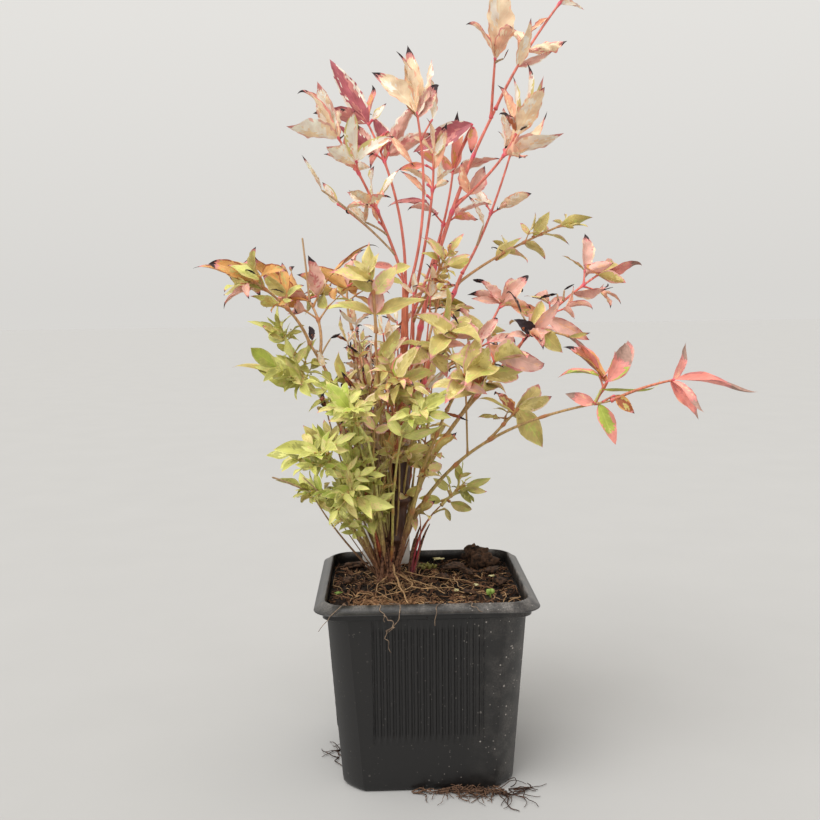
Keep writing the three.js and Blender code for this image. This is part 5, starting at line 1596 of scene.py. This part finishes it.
class BAMBOO_OT_stems(bpy.types.Operator):
    """Grow the stems and the brown sheaths round their feet"""

    bl_idname = "bamboo.stems"
    bl_label = "Stems"

    def execute(self, context):
        look = np.random.default_rng(STEM_SEED)
        skins = stem_skins()
        curves = stem_curves()
        for name, (_, _, _, girth, kind) in STEMS.items():
            stem_piece(name, curves[name], girth, kind, skins, look)
        paths, radii = [], []
        t = np.linspace(0, 1, SHEATH_STATIONS)
        for name, curve in curves.items():
            for _ in range(SHEATHS):
                around = look.uniform(0, 2 * math.pi)
                off = np.array((math.cos(around), math.sin(around), 0)) * (STEMS[name][3][0] / 2 + 0.4)
                tall = look.uniform(*SHEATH_HEIGHTS)
                path = curve.point(t * tall / curve.length) + off * (1 + 0.5 * t[:, None] ** 2)
                path[:, :2] += gathered(name, path, t * tall / curve.length) * (CROWN[:2] - path[0, :2])
                path[:, 2] -= 2.5 * (1 - t)
                paths.append(path)
                radii.append(look.uniform(*SHEATH_RADII) * (1 - 0.75 * t**2))
        for _ in range(CLUMP_FIBRES):
            around, share = look.uniform(0, 2 * math.pi), look.uniform(0.5, 1) ** 0.5
            off = CLUMP_REACH[0] * math.cos(around), CLUMP_REACH[1] * math.sin(around), 0
            foot = CROWN + share * np.array(off)
            lean = np.array((*look.uniform(-0.12, 0.12, 2), 1)) * look.uniform(*FIBRE_HEIGHTS)
            path = foot + lean * t[:, None] + 0.8 * look.normal(0, 0.5, 3) * np.sin(math.pi * t)[:, None]
            path[:, 2] -= 4
            paths.append(path)
            radii.append(look.uniform(*FIBRE_RADII) * (1 - 0.7 * t**2))
        sheaths = tubes(paths, np.array(radii), 6)
        crown = lump(CROWN, CLUMP_RADII, 5, 0.3, 0.0, 20, 30)
        bark = crumbly("Dry leaf sheaths", "#38201a", "#a97a5c", 1.1, 0.8)
        make_piece("clump_sheaths", joined([sheaths, crown]), bark)
        return {"FINISHED"}


class BAMBOO_OT_foliage(bpy.types.Operator):
    """Grow the sprays of leaves and the thin stalks that fill the crown"""

    bl_idname = "bamboo.foliage"
    bl_label = "Foliage"

    def execute(self, context):
        settings = context.scene.bamboo
        look = np.random.default_rng(settings.leaves.seed)
        curves = stem_curves()
        leaves, twigs = grow_sprays(curves, look, settings.leaves)
        thin = grow_filling(look, settings.leaves)
        placed = grow_set_leaves(curves, look, settings.leaves)
        leaves += thin[0] + placed[0]
        twigs += thin[1] + placed[1]
        twig_pieces(twigs, stem_skins())
        leaf_pieces(leaves, settings)
        return {"FINISHED"}


class BAMBOO_OT_pot(bpy.types.Operator):
    """Mould the ribbed pot"""

    bl_idname = "bamboo.pot"
    bl_label = "Pot"

    def execute(self, context):
        settings = context.scene.bamboo.pot
        plastic = moulded_pot_plastic(settings)
        piece = make_piece("pot_shell", pot_points(settings), plastic, ["pot"])
        piece.data.set_sharp_from_angle(angle=math.radians(32))
        return {"FINISHED"}


class BAMBOO_OT_compost(bpy.types.Operator):
    """Fill the pot with compost, crumbs, bark chips and loose fibres"""

    bl_idname = "bamboo.compost"
    bl_label = "Compost"

    def execute(self, context):
        settings = context.scene.bamboo.compost
        relief = settings.relief / MM
        look = np.random.default_rng(COMPOST_SEED)
        peat = crumbly("Damp peat", rgba(settings.peat, 0.2), rgba(settings.peat, 1.8), 1.3)
        make_piece("compost_bed", compost_points(relief), peat, ["soil"])
        self.add_crumbs(settings, relief, look, peat)
        self.add_nugget()
        self.add_greens()
        self.add_fibres(settings, relief, look)
        return {"FINISHED"}

    def add_crumbs(self, settings, relief, look, peat):
        """Crumbs of peat and flat chips of bark, strewn on the ground."""
        bark = crumbly("Composted bark", rgba(settings.bark, 0.45), rgba(settings.bark, 1.25), 1.0)
        for name, share, sizes, material in (
            ("peat_crumbs", 0.7, ((0.5, 1.8), (0.5, 1.6), (0.4, 1.3)), peat),
            ("bark_chips", 0.3, ((0.9, 3.8), (0.5, 1.7), (0.3, 0.8)), bark),
        ):
            count = int(settings.chips * share)
            spots = scattered(count, look)
            size = np.stack([look.uniform(*span, count) for span in sizes], axis=-1)
            height = ground(spots[:, 0], spots[:, 1], relief) + 0.3 * size[:, 2]
            strewn = crumbs(np.column_stack([spots, height]), size, look)
            piece = make_piece(name, strewn, material)
            piece.data.polygons.foreach_set("use_smooth", np.zeros(len(piece.data.polygons), bool))

    def add_nugget(self):
        """A bark nugget at the back and flat dark flakes, each a ball or more knocked about by noise."""
        nugget = [
            lump((26.5, 31, 78), (6.4, 5, 4.4), 8, 0.4, 0.2, 24, 34),
            lump((23.8, 31.4, 81.4), (3.5, 3.2, 3.4), 9, 0.4, 0.0, 20, 28),
            lump((31.2, 30, 77), (4.2, 3.2, 2.6), 10, 0.4, 0.4, 18, 26),
        ]
        flakes = [lump(*row) for row in BARK_FLAKES]
        bark = crumbly("Weathered bark", "#1d130d", "#5f4431", 1.6)
        make_piece("bark_nugget", joined(nugget + flakes), bark)

    def add_greens(self):
        """A seedling's two leaves, a tuft of moss laid out in a spiral, and bits of fallen leaf."""
        moss = []
        for k in range(16):
            x = 1.7 + 2.6 * math.cos(k * 2.4) * k**0.5 / 2
            y = 24 + 1.5 * math.sin(k * 2.4) * k**0.5 / 2
            moss.append(lump((x, y, 77), (0.8, 0.6, 0.9), 60 + k, 0.8, k, 7, 9))
        for name, title, parts, tone in (
            ("compost_greens", "Seedling leaf", [lump(*row) for row in GREEN_BITS], "#8fa850"),
            ("compost_moss", "Dry moss", moss, "#85803c"),
        ):
            make_piece(name, joined(parts), leaf_cuticle(title, tone))
        fallen = crumbly("Fallen leaf", "#a39a63", "#d9d0a4", 1.4, 0.7)
        make_piece("fallen_bits", joined([lump(*row) for row in PALE_BITS]), fallen)

    def add_fibres(self, settings, relief, look):
        """Fibres and rootlets: pale and dark ones all over, and a brown mat at the front left."""
        pale = crumbly("Dry fibre", rgba(settings.fibre, 0.4), rgba(settings.fibre, 1.4), 3.0, 0.7)
        brown = crumbly("Rootlets", rgba(settings.root, 0.35), rgba(settings.root, 1.3), 3.0, 0.8)
        for name, count, lengths, thick, material in (
            ("pale_fibres", int(settings.fibres * 0.3), (5, 20), (0.2, 0.08), pale),
            ("brown_fibres", int(settings.fibres * 0.55), (5, 18), (0.34, 0.12), brown),
        ):
            spots = scattered(count, look, 3.5)
            headings = look.uniform(0, 2 * math.pi, count)
            paths = lying(spots, headings, look.uniform(*lengths, count), look, relief)
            make_piece(name, tubes(paths, tapering(*thick, count, look), 4), material)
        count = MAT_FIBRES
        spots = np.column_stack([look.uniform(*MAT_ACROSS, count), look.uniform(*MAT_DEEP, count)])
        paths = lying(spots, look.normal(0.15, 0.6, count), look.uniform(5, 15, count), look, relief, 0.9)
        mat = crumbly("Matted rootlets", "#6e4a30", "#b08a63", 1.5, 0.8)
        make_piece("root_mat", tubes(paths, tapering(0.2, 0.12, count, look), 4), mat)


class BAMBOO_OT_roots(bpy.types.Operator):
    """Lay the roots over the rim, round the clump and at the pot's foot"""

    bl_idname = "bamboo.roots"
    bl_label = "Roots"

    def execute(self, context):
        settings = context.scene.bamboo.compost
        relief = settings.relief / MM
        look = np.random.default_rng(ROOT_SEED)
        fibre = settings.fibre
        straw = crumbly("Straw-coloured root", rgba(fibre, 0.5), rgba(fibre, 1.1), 2.5, 0.65)
        t = np.linspace(0, 1, ROOT_STATIONS)
        drift = WIGGLE * np.stack([np.sin(19 * t), 0.3 * np.sin(13 * t + 1), np.sin(16 * t + 2)], axis=-1)
        drift *= np.sin(math.pi * t)[:, None] ** 0.5
        rim = tubes(
            [threaded(points) + drift * look.uniform(0.5, 1.3) for points in RIM_ROOTS],
            np.tile(0.22 - 0.12 * t, (len(RIM_ROOTS), 1)),
            6,
        )
        weathered = crumbly("Weathered root", "#5f4d40", "#a58d75", 1.5, 0.8)
        make_piece("rim_roots", rim, weathered)
        clump = tubes(
            [threaded(points) + 0.5 * drift for _, *points in CLUMP_ROOTS],
            np.array([thick / 2 * (1 - 0.5 * t) for thick, *_ in CLUMP_ROOTS]),
            7,
        )
        count = SMALL_ROOTS
        starts = np.array(SMALL_ROOTS_AT) + look.uniform(-7, 7, (count, 2))
        headings, lengths = look.uniform(0, 2 * math.pi, count), look.uniform(8, 20, count)
        paths = lying(starts, headings, lengths, look, relief, 1.2)
        small = tubes(paths, tapering(0.2, 0.1, count, look), 5)
        make_piece("surface_roots", joined([clump, small]), straw)
        dark = crumbly("Foot roots", "#1e130e", "#54392a", 1.2, 0.85)
        mat = crumbly("Matted foot roots", "#2a1c14", "#80604a", 1.0, 0.85)
        for name, rows, material, nodes in (
            ("foot_roots_right", RIGHT_STRANDS, dark, ["roots_right"]),
            ("foot_roots_left", LEFT_STRANDS, dark, ["roots_left"]),
            ("foot_mat", MAT_STRANDS, mat, []),
        ):
            make_piece(name, joined([foot_strands(look, *row) for row in rows]), material, nodes)
        return {"FINISHED"}


class BAMBOO_OT_label(bpy.types.Operator):
    """Finish the blank label"""

    bl_idname = "bamboo.label"
    bl_label = "Label"

    def execute(self, context):
        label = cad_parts["plant_label"]
        label.data.materials.clear()
        label.data.materials.append(label_plastic())
        return {"FINISHED"}


# The camera, in millimetres and radians, and its focal length over the picture's width.
EYE = (-15.563, -418.083, 200.835)
YAW, PITCH, ROLL = 0.0255418, 0.116933, -0.0131717
PICTURE_WIDTH = 820
FOCAL = 994.397 / PICTURE_WIDTH
SENSOR = 36.0
SUN_PLACE, SUN_WAY = (-0.4, -0.6, 1), (0.42, 0.5, -1.0)  # in metres


class BAMBOO_OT_stage(bpy.types.Operator):
    """Set the pale floor, the soft light and the camera"""

    bl_idname = "bamboo.stage"
    bl_label = "Stage"

    def execute(self, context):
        settings = context.scene.bamboo.stage
        self.add_floor(settings)
        self.add_light(context, settings)
        self.add_camera(context)
        context.scene.view_settings.view_transform = "Standard"
        return {"FINISHED"}

    def add_floor(self, settings):
        """A wide floor of matt card, a hair below the pot's underside."""
        material, tree, shader, place = new_material("Matt card", 0.9, 1.45)
        cloud = add(tree, "TexNoise", {"Vector": place, "Scale": 1 / (60 * MM), "Detail": 5.0})
        dull, bright = rgba(settings.floor, 0.97), rgba(settings.floor, 1.03)
        face = add(tree, "Mix", {FACTOR: cloud, FIRST: dull, SECOND: bright}, **COLOUR)
        plug(shader, {"Base Color": face})
        mesh = bpy.data.meshes.new("floor")
        half, low = 6.0, -0.0002
        corners = [(-half, -half, low), (half, -half, low), (half, half, low), (-half, half, low)]
        mesh.from_pydata(corners, [], [(0, 1, 2, 3)])
        mesh.materials.append(material)
        floor = bpy.data.objects.new("floor", mesh)
        bpy.context.scene.collection.objects.link(floor)

    def add_light(self, context, settings):
        """A pale surround, brighter overhead by 1 + above z of its direction, and a wide soft sun from the
        upper left. A sun and a surround light the floor evenly out to the horizon."""
        world = bpy.data.worlds.new("surround")
        world.use_nodes = True
        tree = world.node_tree
        place = add(tree, "TexCoord").outputs["Generated"]
        height = add(tree, "SeparateXYZ", {0: place})
        span = {LOW: settings.fill, HIGH: settings.fill * (1 + settings.above)}
        lift = add(tree, "MapRange", {0: height.outputs["Z"], **span})
        plug(tree.nodes["Background"], {"Color": rgba(settings.air), "Strength": lift})
        context.scene.world = world
        lamp = bpy.data.lights.new("key", "SUN")
        lamp.energy = settings.key
        lamp.angle = settings.soft
        light = bpy.data.objects.new("key", lamp)
        light.matrix_world = look_at(SUN_PLACE, unit(np.array(SUN_WAY)))
        context.scene.collection.objects.link(light)

    def add_camera(self, context):
        """The camera at its place, looking along its yaw and pitch and turned by its roll."""
        ahead = np.array((math.sin(YAW) * math.cos(PITCH), math.cos(YAW) * math.cos(PITCH), -math.sin(PITCH)))
        lens = bpy.data.cameras.new("camera")
        lens.sensor_width = SENSOR
        lens.lens = SENSOR * FOCAL
        lens.clip_start = 0.01
        lens.clip_end = 50
        camera = bpy.data.objects.new("camera", lens)
        camera.matrix_world = look_at(np.array(EYE) * MM, ahead, ROLL)
        context.scene.collection.objects.link(camera)
        context.scene.camera = camera


def look_at(place, ahead, roll=0.0):
    """A matrix at a place whose -z looks ahead and whose x is level, then turned by the roll."""
    right = unit(np.cross(ahead, UP))
    above = np.cross(right, ahead)
    x = math.cos(roll) * right + math.sin(roll) * above
    y = math.cos(roll) * above - math.sin(roll) * right
    return Matrix([(*row, at) for row, at in zip(np.stack([x, y, -ahead], axis=1), place)] + [(0, 0, 0, 1)])


class BAMBOO_PT_panel(bpy.types.Panel):
    """Lists the pieces and their settings"""

    bl_label = "Heavenly bamboo"
    bl_idname = "BAMBOO_PT_panel"
    bl_space_type = "VIEW_3D"
    bl_region_type = "UI"
    bl_category = "Bamboo"

    def draw(self, context):
        settings = context.scene.bamboo
        for operator in OPERATORS:
            self.layout.operator(operator.bl_idname)
        for group in (settings.tints, settings.leaves, settings.pot, settings.compost, settings.stage):
            box = self.layout.box()
            for name in group.bl_rna.properties.keys():
                if name not in ("rna_type", "name"):
                    box.prop(group, name)


OPERATORS = (
    BAMBOO_OT_stems,
    BAMBOO_OT_foliage,
    BAMBOO_OT_pot,
    BAMBOO_OT_compost,
    BAMBOO_OT_roots,
    BAMBOO_OT_label,
    BAMBOO_OT_stage,
)
CLASSES = (
    BAMBOO_PG_tints,
    BAMBOO_PG_leaves,
    BAMBOO_PG_pot,
    BAMBOO_PG_compost,
    BAMBOO_PG_stage,
    BAMBOO_PG_settings,
    *OPERATORS,
    BAMBOO_PT_panel,
)


def register():
    for cls in CLASSES:
        bpy.utils.register_class(cls)
    bpy.types.Scene.bamboo = PointerProperty(type=BAMBOO_PG_settings)


def unregister():
    del bpy.types.Scene.bamboo
    for cls in reversed(CLASSES):
        bpy.utils.unregister_class(cls)


def main():
    """Makes the pieces in order."""
    register()
    for operator in OPERATORS:
        getattr(bpy.ops.bamboo, operator.bl_idname.split(".")[1])()


if __name__ == "__main__":
    main()
